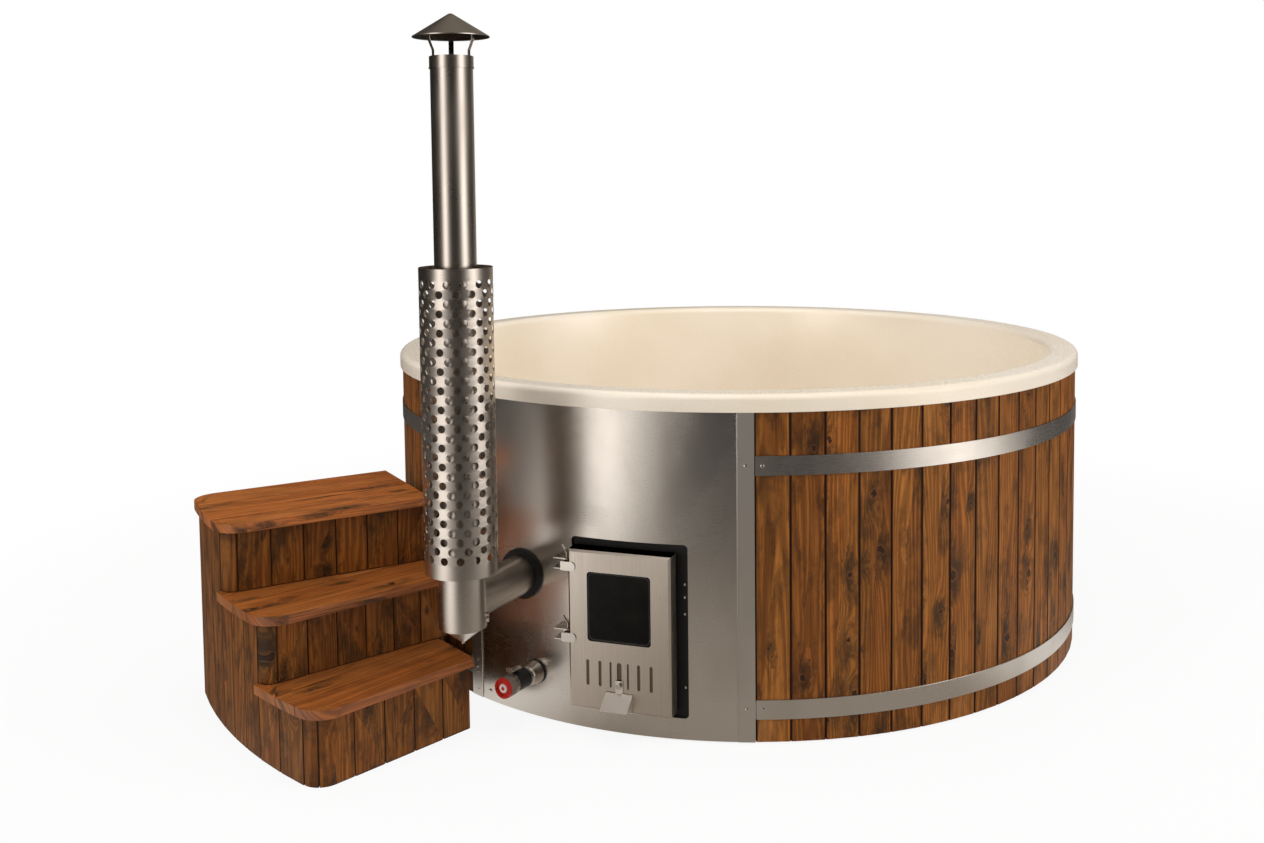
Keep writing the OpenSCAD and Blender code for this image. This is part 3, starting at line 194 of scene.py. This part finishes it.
def wood(name, tone=1.0, along=None, stain=0.6, light=srgb(162, 99, 40), mid=srgb(116, 66, 22),
         dark=srgb(48, 31, 13), joints=None, gloss=0.22):
    """Stained knotty softwood. The grain runs up, or level in the direction along.

    joints gives the first joint's direction and the boards' pitch round the tub, in degrees;
    the boards' edges then darken.
    """
    s = Shader(name)
    if along is None:
        x, y, run = s.split(s.place())
        turn = s.math("ARCTAN2", x, s.math("MULTIPLY", y, -1.0))
        across = s.math("MULTIPLY_ADD", turn, BOARD_RADIUS, s.vector("LENGTH", s.join(x, y)))
    else:
        across, run, up = s.split(s.place(turn=(0, 0, -along)))
        across = s.math("ADD", across, up)
    board = s.node("ShaderNodeNewGeometry").outputs["Random Per Island"]
    across_b = s.math("MULTIPLY_ADD", board, 13.7, across)
    run_b = s.math("MULTIPLY_ADD", board, 31.1, run)

    # Knots lie one to a cell, about as wide as a board, and fade towards its border so that
    # it doesn't show as a straight line; some cells have none.
    wide, long = KNOT_CELLS
    cells = {"Vector": s.join(s.times(across_b, wide), s.times(run_b, long)),
             "Scale": 1.0, "Randomness": 0.9}
    cell = s.node("ShaderNodeTexVoronoi", cells, voronoi_dimensions="2D")
    border = s.node("ShaderNodeTexVoronoi", cells, voronoi_dimensions="2D",
                    feature="DISTANCE_TO_EDGE")
    inside = s.remap(border.outputs["Distance"], 0.0, KNOT_FADE)
    middle_x, middle_y, _ = s.split(cell.outputs["Position"])
    off_x = s.math("SUBTRACT", across_b, s.math("DIVIDE", middle_x, wide))
    off_y = s.math("SUBTRACT", run_b, s.math("DIVIDE", middle_y, long))
    warp = s.noise(s.join(s.times(across_b, 55), s.times(run_b, 32)), detail=3, rough=0.6)
    off_x = s.math("ADD", off_x, s.remap(warp, 0.3, 0.7, -0.006, 0.006, False))
    off_y = s.math("ADD", off_y, s.remap(warp, 0.3, 0.7, 0.007, -0.007, False))
    luck = s.split(cell.outputs["Color"])
    size = s.times(s.remap(luck[0], 0.30, 0.95, 0.0, 0.0125, False),
                   s.remap(luck[1], 0, 1, 0.75, 1))
    size = s.math("MAXIMUM", size, 0.0004)
    uneven = s.remap(s.noise(s.join(s.times(across_b, 70), s.times(run_b, 60)), detail=2),
                     0.2, 0.8, 0.72, 1.3, False)
    near = s.math("DIVIDE", s.times(s.vector("LENGTH", s.join(off_x, s.times(off_y, 0.85))),
                                    uneven), size)
    far = s.math("DIVIDE", s.times(s.vector("LENGTH", s.join(off_x, s.times(off_y, 0.40))),
                                   uneven), size)
    core = s.times(s.remap(near, 1.05, 0.72), inside)
    rim = s.times(s.remap(near, 1.9, 1.1), s.math("SUBTRACT", 1.0, core), inside)
    halo = s.times(s.remap(far, 5.6, 0.8), inside)
    pull = s.times(s.math("EXPONENT", s.math("MULTIPLY", s.times(far, far), -0.10)), inside)
    line_at = s.math("SUBTRACT", across_b, s.times(off_x, pull, 0.85))

    # Growth rings seen on the face as long flames, which bend round the knots.
    drift = s.noise(s.join(s.times(line_at, 7.0), s.times(run_b, 0.55)), detail=2)
    rings = s.math("MULTIPLY_ADD", drift, 17.0, s.times(line_at, 62.0))
    rings = s.math("MULTIPLY_ADD", pull, 1.8, rings)
    late = s.math("POWER", s.math("MULTIPLY_ADD", s.math("SINE", s.times(rings, FULL_TURN)),
                                  0.5, 0.5), 1.6)
    fibre = s.noise(s.join(s.times(line_at, 420), s.times(run_b, 7)), detail=4, rough=0.6)
    streak = s.noise(s.join(s.times(line_at, 60), s.times(run_b, 1.3)), detail=3)
    blotch = s.noise(s.join(s.times(across_b, 15), s.times(run_b, 6)), detail=6, rough=0.68)
    cloud = s.noise(s.join(s.times(across_b, 5), s.times(run_b, 1.6), board), detail=2)

    shade = s.add(s.times(late, 0.17), s.times(fibre, 0.40), s.times(streak, 0.50))
    colour = s.mix(s.remap(shade, 0.38, 0.80), mid, light)
    colour = s.mix(s.times(s.remap(late, 0.55, 0.0), 0.13), colour, dark)
    colour = s.mix(s.times(s.remap(blotch, 0.47, 0.64), stain), colour, dark)
    colour = s.mix(s.times(s.remap(fibre, 0.50, 0.34), 0.40), colour, dark)
    colour = s.mix(s.times(s.remap(cloud, 0.60, 0.78), 0.35), colour, srgb(186, 122, 66))
    colour = s.mix(s.times(halo, s.remap(blotch, 0.36, 0.58, 0.25, 0.92)), colour,
                   srgb(50, 34, 18))
    colour = s.mix(s.times(rim, 0.20), colour, srgb(156, 92, 44))
    colour = s.mix(s.times(core, 0.93), colour, s.mix(s.remap(near, 0.2, 0.8), srgb(52, 30, 15),
                                                      srgb(24, 14, 8)))
    value = s.times(s.remap(board, 0, 1, 0.84 * tone, 1.14 * tone, False),
                    s.remap(cloud, 0.25, 0.75, 0.92, 1.06))
    hue = s.math("FRACT", s.times(board, 7.31))
    colour = s.mix(1.0, colour, s.node("ShaderNodeCombineColor", {
        0: value, 1: s.times(value, s.remap(hue, 0, 1, 0.96, 1.06)),
        2: s.times(value, s.remap(hue, 0, 1, 0.85, 1.06))}).outputs[0], "MULTIPLY")
    if joints:
        first, pitch = (math.radians(a) for a in joints)
        part = s.math("FRACT", s.math("DIVIDE", s.math("SUBTRACT", turn, first), pitch))
        edge = s.math("MINIMUM", part, s.math("SUBTRACT", 1.0, part))
        edge = s.remap(s.times(edge, pitch * BOARD_RADIUS_MM), 5.2, 2.6)
        colour = s.mix(s.times(edge, 0.90), colour, srgb(32, 15, 8))
    height = s.add(s.times(fibre, 0.6), s.times(late, 0.5), s.times(core, -0.9))
    rough = s.remap(shade, 0.2, 0.9, 0.76 - gloss * 0.5, 0.62 - gloss * 0.5)
    return s.surface(Base_Color=colour, Roughness=rough, Normal=s.bump(height, 0.0007, 0.6),
                     Specular_IOR_Level=gloss)


def plain_wood(name, light=srgb(205, 168, 118), dark=srgb(150, 108, 66)):
    """Untreated timber of the hidden frames."""
    s = Shader(name)
    where = s.place()
    grain = s.noise(s.vector("MULTIPLY", where, (90, 90, 9)), detail=4)
    blotch = s.noise(where, 3.0, 3)
    colour = s.mix(s.remap(grain, 0.35, 0.7), dark, light)
    colour = s.mix(s.remap(blotch, 0.4, 0.8, 0, 0.4), colour, dark)
    return s.surface(Base_Color=colour, Roughness=s.remap(grain, 0.2, 0.8, 0.8, 0.6),
                     Normal=s.bump(grain, 0.0005, 0.5))


def steel(name, colour=srgb(206, 199, 190), rough=0.30, brushed="level", grain=1.0, spread=0.6,
          rolled=False, shade_below=False):
    """Brushed stainless sheet: fine level or upright lines, with faint smears.

    A rolled sheet lies round the tub, and takes its normals from the tub's axis. A piece may
    be given painted shade: it is then dark wherever it faces down.
    """
    s = Shader(name)
    stretch = {"level": (5, 5, 900), "upright": (700, 700, 5), "none": (90, 90, 90)}[brushed]
    lines = s.noise(s.place(stretch), detail=3, rough=0.6)
    smear = s.noise(s.place((5, 5, 3)), detail=3, rough=0.55)
    tint = s.mix(s.math("MULTIPLY", s.remap(lines, 0.35, 0.7), 0.22 * grain), colour,
                 tuple(0.62 * c for c in colour[:3]) + (1,))
    tint = s.mix(s.remap(smear, 0.5, 0.75, 0, 0.16), tint, srgb(150, 134, 118))
    roughness = s.math("ADD", s.remap(lines, 0.3, 0.7, rough - 0.06 * grain, rough + 0.07 * grain),
                       s.remap(smear, 0.35, 0.7, -0.02, 0.05))
    facing = s.node("ShaderNodeNewGeometry").outputs["Normal"]
    if rolled:
        facing = s.vector("NORMALIZE", s.place((1, 1, 0)))
    # Painted shade: the colour darkens wherever the surface faces down.
    if shade_below:
        facing_down_shade = s.remap(s.split(facing)[2], -0.2, -0.5)
        tint = s.mix(facing_down_shade, tint, srgb(44, 37, 31))
        roughness = s.math("ADD", roughness, s.times(facing_down_shade, 0.3))
    across = s.vector("CROSS_PRODUCT", facing, (0, 0, 1))
    return s.surface(Base_Color=tint, Metallic=1.0, Roughness=roughness, Anisotropic=spread,
                     Tangent=across, Normal=s.bump(lines, 0.00004, 0.25 * grain, facing))


def gelcoat(name):
    """Cream moulded shell with a soft gloss."""
    s = Shader(name)
    cloud = s.noise(s.place((2.2, 2.2, 2.2)), detail=3)
    speck = s.noise(s.place((420, 420, 420)), detail=2)
    colour = s.mix(s.remap(cloud, 0.3, 0.75), srgb(240, 228, 211), srgb(233, 219, 197))
    wave = s.noise(s.place((14, 14, 14)), detail=2)
    height = s.math("ADD", wave, s.math("MULTIPLY", speck, 0.04))
    return s.surface(Base_Color=colour, Roughness=s.remap(speck, 0.3, 0.7, 0.24, 0.32),
                     Coat_Weight=0.35, Coat_Roughness=0.12, Normal=s.bump(height, 0.0012, 0.25))


def coated(name, colour, rough=0.5, metallic=0.0, grain=300.0, depth=0.0002, wear=0.25,
           specular=0.5):
    """A matt or satin surface with a fine grain and slightly uneven colour."""
    s = Shader(name)
    fine = s.noise(s.place((grain, grain, grain)), detail=3)
    patch = s.noise(s.place((9, 9, 9)), detail=4, rough=0.6)
    tint = s.mix(s.remap(patch, 0.45, 0.75, 0, wear), colour,
                 tuple(min(1, 1.6 * c + 0.01) for c in colour[:3]) + (1,))
    return s.surface(Base_Color=tint, Metallic=metallic,
                     Roughness=s.remap(fine, 0.3, 0.7, rough - 0.08, rough + 0.08),
                     Specular_IOR_Level=specular, Normal=s.bump(fine, depth, 0.6))


def woven(name, colour=srgb(172, 164, 148)):
    """Plaited mineral cord."""
    s = Shader(name)
    wave = s.node("ShaderNodeTexWave", {"Vector": s.place((1, 1, 1)), "Scale": 60.0,
                                        "Distortion": 3.0, "Detail": 2.0},
                  bands_direction="DIAGONAL").outputs[1]
    fuzz = s.noise(s.place((500, 500, 500)), detail=3)
    tint = s.mix(wave, tuple(0.5 * c for c in colour[:3]) + (1,), colour)
    height = s.math("ADD", wave, s.math("MULTIPLY", fuzz, 0.4))
    return s.surface(Base_Color=tint, Roughness=0.95, Normal=s.bump(height, 0.001, 0.9))


def dark_glass(name):
    """Heat-proof glass with faint patches of soot."""
    s = Shader(name)
    soot = s.noise(s.place((9, 9, 14)), detail=4, rough=0.6)
    colour = s.mix(s.remap(soot, 0.4, 0.7), srgb(8, 8, 7), srgb(18, 16, 12))
    return s.surface(Base_Color=colour, Roughness=s.remap(soot, 0.3, 0.7, 0.05, 0.12),
                     Specular_IOR_Level=0.12)


def valve_cap(name, centre, outward, face):
    """A red cap with a pale ring on its face; what lies behind the face is grey metal."""
    s = Shader(name)
    where = s.vector("SUBTRACT", s.place(), tuple(centre))
    out = s.vector("DOT_PRODUCT", where, tuple(outward))
    from_axis = s.vector("LENGTH", s.vector("CROSS_PRODUCT", where, tuple(outward)))
    patch = s.noise(s.place((60, 60, 60)), detail=3)
    red = s.mix(s.remap(patch, 0.3, 0.7), srgb(186, 34, 24), srgb(162, 26, 20))
    front = s.remap(out, face - 0.0085, face - 0.0075)
    ring = s.times(s.remap(from_axis, 0.0135, 0.0128), s.remap(from_axis, 0.0052, 0.0060))
    colour = s.mix(front, srgb(128, 118, 108), s.mix(ring, red, srgb(216, 206, 198)))
    return s.surface(Base_Color=colour, Roughness=s.remap(patch, 0.3, 0.7, 0.30, 0.40),
                     Metallic=s.remap(front, 0.4, 0.6, 0.5, 0.0),
                     Normal=s.bump(patch, 0.0002, 0.4))


STAVES = wood("stained_boards", joints=(18.0624, 4.767806))
# The step boards are a darker copy of the board wood: painted shade on the risers and side wall.
SHADED_CLADDING = wood("step_boards_painted_shade", tone=0.84, stain=0.7)
# Dark wood for the step boards' rounded edges: dark joints, and painted shade along their bottom
# edges and outer corners.
EDGES = wood("board_joints_and_shade", tone=0.30)
# The treads are lighter copies of the board wood, the upper tread most: painted light on their
# tops.
LIT_TREADS = [wood(f"tread_boards_painted_light_{k}", tone=tone, stain=0.3, light=srgb(168, 97, 44),
               mid=srgb(134, 73, 30), along=STEPS_TURN + math.radians(a), gloss=0.5)
          for k, (a, tone) in enumerate(zip(RISER_SKEW, (1.08, 1.10, 1.5)))]
TIMBER = plain_wood("frame_timber")
SHEET = steel("brushed_sheet", rough=0.25, grain=0.2, rolled=True)
STRIP = steel("brushed_strip", rough=0.42, grain=0.4, rolled=True)
BAND = steel("brushed_band", rough=0.28, grain=0.3, rolled=True)
DOOR = steel("brushed_door", colour=srgb(202, 192, 180), rough=0.33, brushed="upright", spread=0.3)
# The air shutter's steel is painted darker than the door: painted shade in the recess behind the
# door's slots.
SHADED_PLATE = steel("damper_plate_painted_shade", colour=srgb(112, 101, 90), rough=0.45, grain=0.25)
# The shutter handle's steel is painted lighter than the door: painted light on its upward faces.
LIT_HANDLE = steel("handle_steel_painted_light", colour=srgb(240, 233, 225), rough=0.34, grain=0.15)
TUBE = steel("polished_tube", colour=srgb(196, 187, 177), rough=0.29, grain=0.05, spread=0.4)
SMALL = steel("small_steel", rough=0.26, brushed="none", grain=0.3, spread=0.0)
SOOTY = steel("furnace_steel", colour=srgb(120, 112, 104), rough=0.45, brushed="none", spread=0.0)
LINER = gelcoat("cream_shell")
RUBBER = coated("black_rubber", srgb(20, 19, 18), rough=0.62, grain=260)
PLASTIC = coated("black_plastic", srgb(16, 16, 17), rough=0.42, grain=600, depth=0.0001)
# The cap's underside gets painted shade: it is dark where it faces down.
CONE = steel("cap_steel", rough=0.36, grain=0.3, spread=0.2, shade_below=True)
CAP = valve_cap("red_cap", DRAIN, DRAIN_OUT, cap_face)
PAINT = coated("black_paint", srgb(17, 16, 15), rough=0.5, grain=500, specular=0.3)
IRON = coated("cast_iron", srgb(34, 31, 29), rough=0.72, metallic=0.6, grain=240, depth=0.0006)
ROPE = woven("rope_seal")
GLASS = dark_glass("dark_glass")

NODE_MATERIALS = {
    STAVES: ("staves_right", "staves_back", "staves_left"),
    SHADED_CLADDING: ("step_risers", "step_side_wall"),
    LIT_TREADS[0]: ("tread_lower",), LIT_TREADS[1]: ("tread_middle",), LIT_TREADS[2]: ("tread_upper",),
    TIMBER: ("carrier_rings", "frame_posts", "base_frame", "heater_fence", "panel_battens",
             "step_frame"),
    SHEET: ("front_panel",), STRIP: ("panel_strip_left", "panel_strip_right"),
    BAND: ("hoop_upper", "hoop_lower"),
    DOOR: ("door_shell",), SHADED_PLATE: ("air_shutter",), LIT_HANDLE: ("shutter_handle",),
    TUBE: ("flue_tee", "condensate_cup", "chimney_pipe", "pipe_top_band", "heat_guard",
           "drain_tube"),
    CONE: ("cap_cone",),
    SMALL: ("hoop_screws", "panel_rivets", "flange_bolts", "hinge_ears", "hinge_pins",
            "glass_retainer", "door_hinge_lugs", "door_catch", "shutter_stud", "guard_spacers",
            "cap_legs", "drain_strainer", "valve_ball", "valve_lever", "drain_coupling"),
    SOOTY: ("furnace_body", "ash_tray", "smoke_baffle", "door_back_plate"),
    LINER: ("liner_shell", "liner_floor", "bench_seat"),
    RUBBER: ("furnace_seals", "flue_collar_ring", "drain_gasket"),
    PLASTIC: ("valve_body",), CAP: ("drain_cap",), PAINT: ("furnace_frame",),
    IRON: ("fire_grate",), ROPE: ("door_rope_seal",), GLASS: ("door_glass",),
}


CREASE = math.radians(35)             # edges sharper than this stay edges


def split_creases(piece):
    crisp = piece.modifiers.new("crisp", "EDGE_SPLIT")
    crisp.split_angle = CREASE


def finish_node(name, material, round_edge):
    """Gives a CAD node its material, joins its split faces, and rounds or splits its edges."""
    piece = nodes[name]
    piece.data.materials.clear()
    piece.data.materials.append(material)
    weld = piece.modifiers.new("join", "WELD")
    weld.merge_threshold = 0.00002
    if round_edge:
        bevel = piece.modifiers.new("edges", "BEVEL")
        bevel.width = round_edge
        bevel.segments = 3
        bevel.limit_method = "ANGLE"
        bevel.angle_limit = CREASE
        # Rounded step-board edges take the dark edge wood: dark joints, and painted shade along
        # bottom edges and outer corners.
        if material is SHADED_CLADDING:
            piece.data.materials.append(EDGES)
            bevel.material = 1
        even = piece.modifiers.new("even", "WEIGHTED_NORMAL")
        even.weight = 100
    else:
        split_creases(piece)


ROUNDED = {"tread_lower": 0.007, "tread_middle": 0.007, "tread_upper": 0.007,
           "step_risers": 0.003, "step_side_wall": 0.003}
for material, names in NODE_MATERIALS.items():
    for name in names:
        finish_node(name, material, ROUNDED.get(name, 0.0))


# ---- Finer pieces ----
def piece_from(name, verts, faces, material, body="tub"):
    """A new smooth-shaded piece that rides on a body."""
    mesh = bpy.data.meshes.new(name)
    mesh.from_pydata([tuple(v) for v in verts], [], faces)
    mesh.validate()
    for face in mesh.polygons:
        face.use_smooth = True
    piece = bpy.data.objects.new(name, mesh)
    scene.collection.objects.link(piece)
    piece.data.materials.append(material)
    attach(piece, body)
    return piece


def perforated_tube(name, centre, radius, low, high, columns, rows, hole, margins, sheet,
                    material, ring=20):
    """A rolled sheet with staggered rows of round holes; each hole has a cell of its own."""
    below, above = margins
    pitch = (high - low - below - above) / (rows - 1)
    step = 2 * math.pi / columns
    verts, faces, seen = [], [], {}

    def at(turn, z):
        key = (round(turn * 1e6) % round(2e6 * math.pi), round(z * 1e6))
        if key not in seen:
            seen[key] = len(verts)
            verts.append(centre + Vector((radius * math.sin(turn), -radius * math.cos(turn), z)))
        return seen[key]

    def square(k):
        """A point on the cell's rim, k of ring, as fractions of the half cell."""
        quarter = ring // 4
        side, part = divmod((k + quarter // 2) % ring, quarter)
        t = 2 * part / quarter - 1
        return ((1, t), (-t, 1), (-1, -t), (t, -1))[side]

    for row in range(rows):
        z = low + below + row * pitch
        for column in range(columns):
            turn = (column + 0.5 * (row % 2)) * step
            outer, inner = [], []
            for k in range(ring):
                u, v = square(k)
                angle = 2 * math.pi * k / ring
                outer.append(at(turn + u * step / 2, z + v * pitch / 2))
                inner.append(at(turn + hole * math.cos(angle) / radius,
                                z + hole * math.sin(angle)))
            for k in range(ring):
                n = (k + 1) % ring
                faces.append((outer[k], outer[n], inner[n], inner[k]))
    for bottom, top, row in ((low, low + below - pitch / 2, 0),
                             (high - above + pitch / 2, high, rows - 1)):
        marks = []
        for column in range(columns):
            start = (column + 0.5 * (row % 2) - 0.5) * step
            marks += [start + step * k / (ring // 4) for k in range(ring // 4)]
        levels = [bottom + (top - bottom) * k / 4 for k in range(5)]
        for i in range(len(marks)):
            a, b = marks[i], marks[(i + 1) % len(marks)]
            for z0, z1 in zip(levels, levels[1:]):
                faces.append((at(a, z0), at(b, z0), at(b, z1), at(a, z1)))
    piece = piece_from(name, verts, faces, material)
    thick = piece.modifiers.new("sheet", "SOLIDIFY")
    thick.thickness = sheet
    thick.offset = -1
    split_creases(piece)
    return piece


def turned(name, parts, material, body="tub", ring=32):
    """Turned rings and domes: each part is (origin, axis, [(along the axis, radius), ...])."""
    verts, faces = [], []
    for origin, axis, profile in parts:
        axis = Vector(axis).normalized()
        side = axis.orthogonal().normalized()
        up = axis.cross(side)
        first = len(verts)
        for along, radius in profile:
            for k in range(ring):
                turn = 2 * math.pi * k / ring
                verts.append(Vector(origin) + axis * along
                             + (side * math.cos(turn) + up * math.sin(turn)) * max(radius, 1e-5))
        for row in range(len(profile) - 1):
            for k in range(ring):
                a, b = first + row * ring + k, first + row * ring + (k + 1) % ring
                faces.append((a, b, b + ring, a + ring))
    piece = piece_from(name, verts, faces, material, body)
    joined = piece.modifiers.new("join", "WELD")
    joined.merge_threshold = 0.00003
    return piece


def round_tub(degrees, radius, z):
    """A point at a direction round the tub, a distance from its axis, and a height."""
    turn = math.radians(degrees)
    return Vector((radius * math.sin(turn), -radius * math.cos(turn), z))


def dome(radius, height):
    """A profile from the rim of a low dome to its top."""
    return [(-0.001, radius)] + [(height * math.sin(t), radius * math.cos(t))
                                 for t in (math.pi / 2 * k / 6 for k in range(7))]


SHEET_FACE = 1.1945                   # radius of the front panel's outside
rivets = [(round_tub(a, SHEET_FACE, z), round_tub(a, 1, 0), dome(r, 0.0016))
          for a, z, r in ((-25.87, 0.121, 0.0042), (-25.87, 0.083, 0.0042),
                          (-25.87, 0.026, 0.0042), (-23.2, 0.036, 0.0055))]
turned("strip_rivets", rivets, SMALL)

sleeve = [(1.1985, 0.0345), (1.2035, 0.0345), (1.2060, 0.0330), (1.2290, 0.0290),
          (1.2420, 0.0282), (1.2420, 0.0252)]
turned("drain_sleeve", [(DRAIN, DRAIN_OUT, sleeve)], TUBE, ring=64)

door_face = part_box("door_shell")[0].y
frame_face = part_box("furnace_frame")[0].y
WINDOW = ((-0.095, 0.095), (0.281, 0.481))      # the opening in the door: across, and up


def window_seal():
    """A black cord seal that lies inside the edge of the door's window."""
    (x0, x1), (z0, z1) = WINDOW
    curve, inset, radius = 0.020, 0.0035, 0.0034
    path = []
    for cx, cz, start in ((x1 - curve, z1 - curve, 0), (x0 + curve, z1 - curve, 90),
                          (x0 + curve, z0 + curve, 180), (x1 - curve, z0 + curve, 270)):
        for k in range(9):
            turn = math.radians(start + 90 * k / 8)
            reach = curve - inset
            path.append((cx + reach * math.cos(turn), cz + reach * math.sin(turn),
                         math.cos(turn), math.sin(turn)))
    sunk, ring = 0.0035, 10
    depth = door_face + sunk
    verts, faces = [], []
    for x, z, nx, nz in path:
        for k in range(ring):
            turn = 2 * math.pi * k / ring
            out = radius * math.cos(turn)
            verts.append((x + nx * out, depth - radius * 0.8 * math.sin(turn), z + nz * out))
    count = len(path)
    for i in range(count):
        for k in range(ring):
            a, b = i * ring + k, i * ring + (k + 1) % ring
            n = ((i + 1) % count) * ring
            faces.append((a, b, n + (k + 1) % ring, n + k))
    return piece_from("window_seal", verts, faces, RUBBER, "furnace_door")


window_seal()
studs = [((0.1765, frame_face, z), (0, -1, 0), dome(0.0042, 0.0030))
         for z in (0.450, 0.413, 0.365, 0.154)]
turned("frame_studs", studs, SMALL, ring=16)

beads = [(round_tub(a, SHEET_FACE + 0.0004, 0.018), (0, 0, 1), [(0, 0.0018), (0.922, 0.0018)])
         for a in (15.70, -24.90)]
turned("strip_beads", beads, SMALL, ring=8)

GUARD_RADIUS = (guard_high.x - guard_low.x) / 2
guard = perforated_tube("guard_sheet", CHIMNEY, GUARD_RADIUS, guard_low.z, guard_high.z,
                        columns=14, rows=30, hole=10.8 * MM, margins=(52 * MM, 42 * MM),
                        sheet=1.5 * MM, material=TUBE)
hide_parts("heat_guard")


# ---- Studio ----
def stage_floor():
    """A wide white floor: the camera sees white with the object's soft shadow."""
    mesh = bpy.data.meshes.new("floor")
    reach = 14.0
    mesh.from_pydata([(-reach, -reach, 0), (reach, -reach, 0), (reach, reach, 0),
                      (-reach, reach, 0)], [], [(0, 1, 2, 3)])
    floor = bpy.data.objects.new("floor", mesh)
    scene.collection.objects.link(floor)
    s = Shader("floor")
    x, y, _ = s.split(s.place())
    far = s.vector("LENGTH", s.join(x, y))
    away = s.remap(far, 2.2, 3.6, 0.90, 1.0)
    matt = s.node("ShaderNodeBsdfDiffuse", {"Color": (0.80, 0.79, 0.78, 1)}).outputs[0]
    white = s.node("ShaderNodeEmission", {"Color": (1, 1, 1, 1), "Strength": 1.0}).outputs[0]
    glow = s.times(s.studio_glow(x, y), s.remap(far, 1.5, 4.5, 0.22, 0.80))
    glow = s.math("ADD", glow, s.remap(far, 1.4, 4.0, 0.34, 0.0))
    pale = s.node("ShaderNodeEmission", {"Color": s.room_tint(glow), "Strength": glow}).outputs[0]
    path = s.node("ShaderNodeLightPath")
    seen = s.node("ShaderNodeMixShader", {0: s.times(path.outputs["Is Camera Ray"], away),
                                          1: matt, 2: white}).outputs[0]
    glossy = s.math("MAXIMUM", path.outputs["Is Glossy Ray"], path.outputs["Is Transmission Ray"])
    both = s.node("ShaderNodeMixShader", {0: s.times(glossy, 0.9), 1: seen, 2: pale}).outputs[0]
    s.tree.links.new(both, s.out.inputs[0])
    mesh.materials.append(s.mat)


def area_light(name, where, target, size, power):
    """A white softbox that metal doesn't mirror."""
    lamp = bpy.data.lights.new(name, "AREA")
    lamp.shape = "RECTANGLE"
    lamp.size, lamp.size_y = size
    lamp.energy = power
    thing = bpy.data.objects.new(name, lamp)
    thing.location = where
    thing.rotation_euler = (Vector(target) - Vector(where)).to_track_quat("-Z", "Y").to_euler()
    thing.visible_glossy = False
    scene.collection.objects.link(thing)


def studio_world():
    """White behind the object, a dark room with pale walls for reflections, a plain fill."""
    world = bpy.data.worlds.new("studio")
    scene.world = world
    world.use_nodes = True
    w = Nodes(world.node_tree)
    x, y, z = w.split(w.node("ShaderNodeTexCoord").outputs["Generated"])
    overhead = w.times(w.remap(z, 0.6, 0.85), w.remap(y, 0.1, -0.2, 0.2, 0.9))
    level = w.add(w.times(w.studio_glow(x, y), w.remap(z, 0.25, 0.85, 1.0, 0.15)), overhead)
    white = w.node("ShaderNodeBackground", {0: (1, 1, 1, 1), 1: 1.0}).outputs[0]
    room = w.node("ShaderNodeBackground", {0: w.room_tint(level), 1: level}).outputs[0]
    fill = w.node("ShaderNodeBackground", {0: (1.0, 0.985, 0.96, 1), 1: FILL}).outputs[0]
    path = w.node("ShaderNodeLightPath").outputs
    mirror = w.math("MAXIMUM", path["Is Glossy Ray"], path["Is Transmission Ray"])
    first = w.node("ShaderNodeMixShader", {0: mirror, 1: fill, 2: room}).outputs[0]
    second = w.node("ShaderNodeMixShader", {0: path["Is Camera Ray"], 1: first, 2: white})
    out = w.node("ShaderNodeOutputWorld")
    w.tree.links.new(second.outputs[0], out.inputs[0])


stage_floor()
studio_world()
area_light("softbox_left", (-2.9, -6.2, 2.6), (-0.2, -0.6, 0.7), (1.8, 3.2), 105)
area_light("softbox_right", (6.0, -0.6, 2.4), (0.3, -0.3, 0.6), (3.0, 3.4), 160)
area_light("softbox_top", (0.4, -1.5, 5.2), (0, 0, 0.6), (4.0, 4.0), 165)
area_light("softbox_side", (-6.0, -0.6, 3.2), (0, 0, 0.8), (2.6, 2.6), 75)
area_light("softbox_back", (1.2, 6.0, 2.8), (0, 0, 0.5), (3.0, 3.0), 80)

# ---- Camera ----
PAN, PITCH = math.radians(19.58), math.radians(86.15)
ROLL = -0.0115                        # radians
camera_data = bpy.data.cameras.new("camera")
camera_data.lens = 37.20
camera_data.sensor_width = 36.0
camera_data.shift_y = -0.1277
camera = bpy.data.objects.new("camera", camera_data)
camera.location = (1.2518, -4.6072, 1.6070)
camera.rotation_euler = (Matrix.Rotation(PAN, 3, "Z") @ Matrix.Rotation(PITCH, 3, "X")
                         @ Matrix.Rotation(ROLL, 3, "Z")).to_euler()
scene.collection.objects.link(camera)
scene.camera = camera

scene.view_settings.view_transform = "Standard"
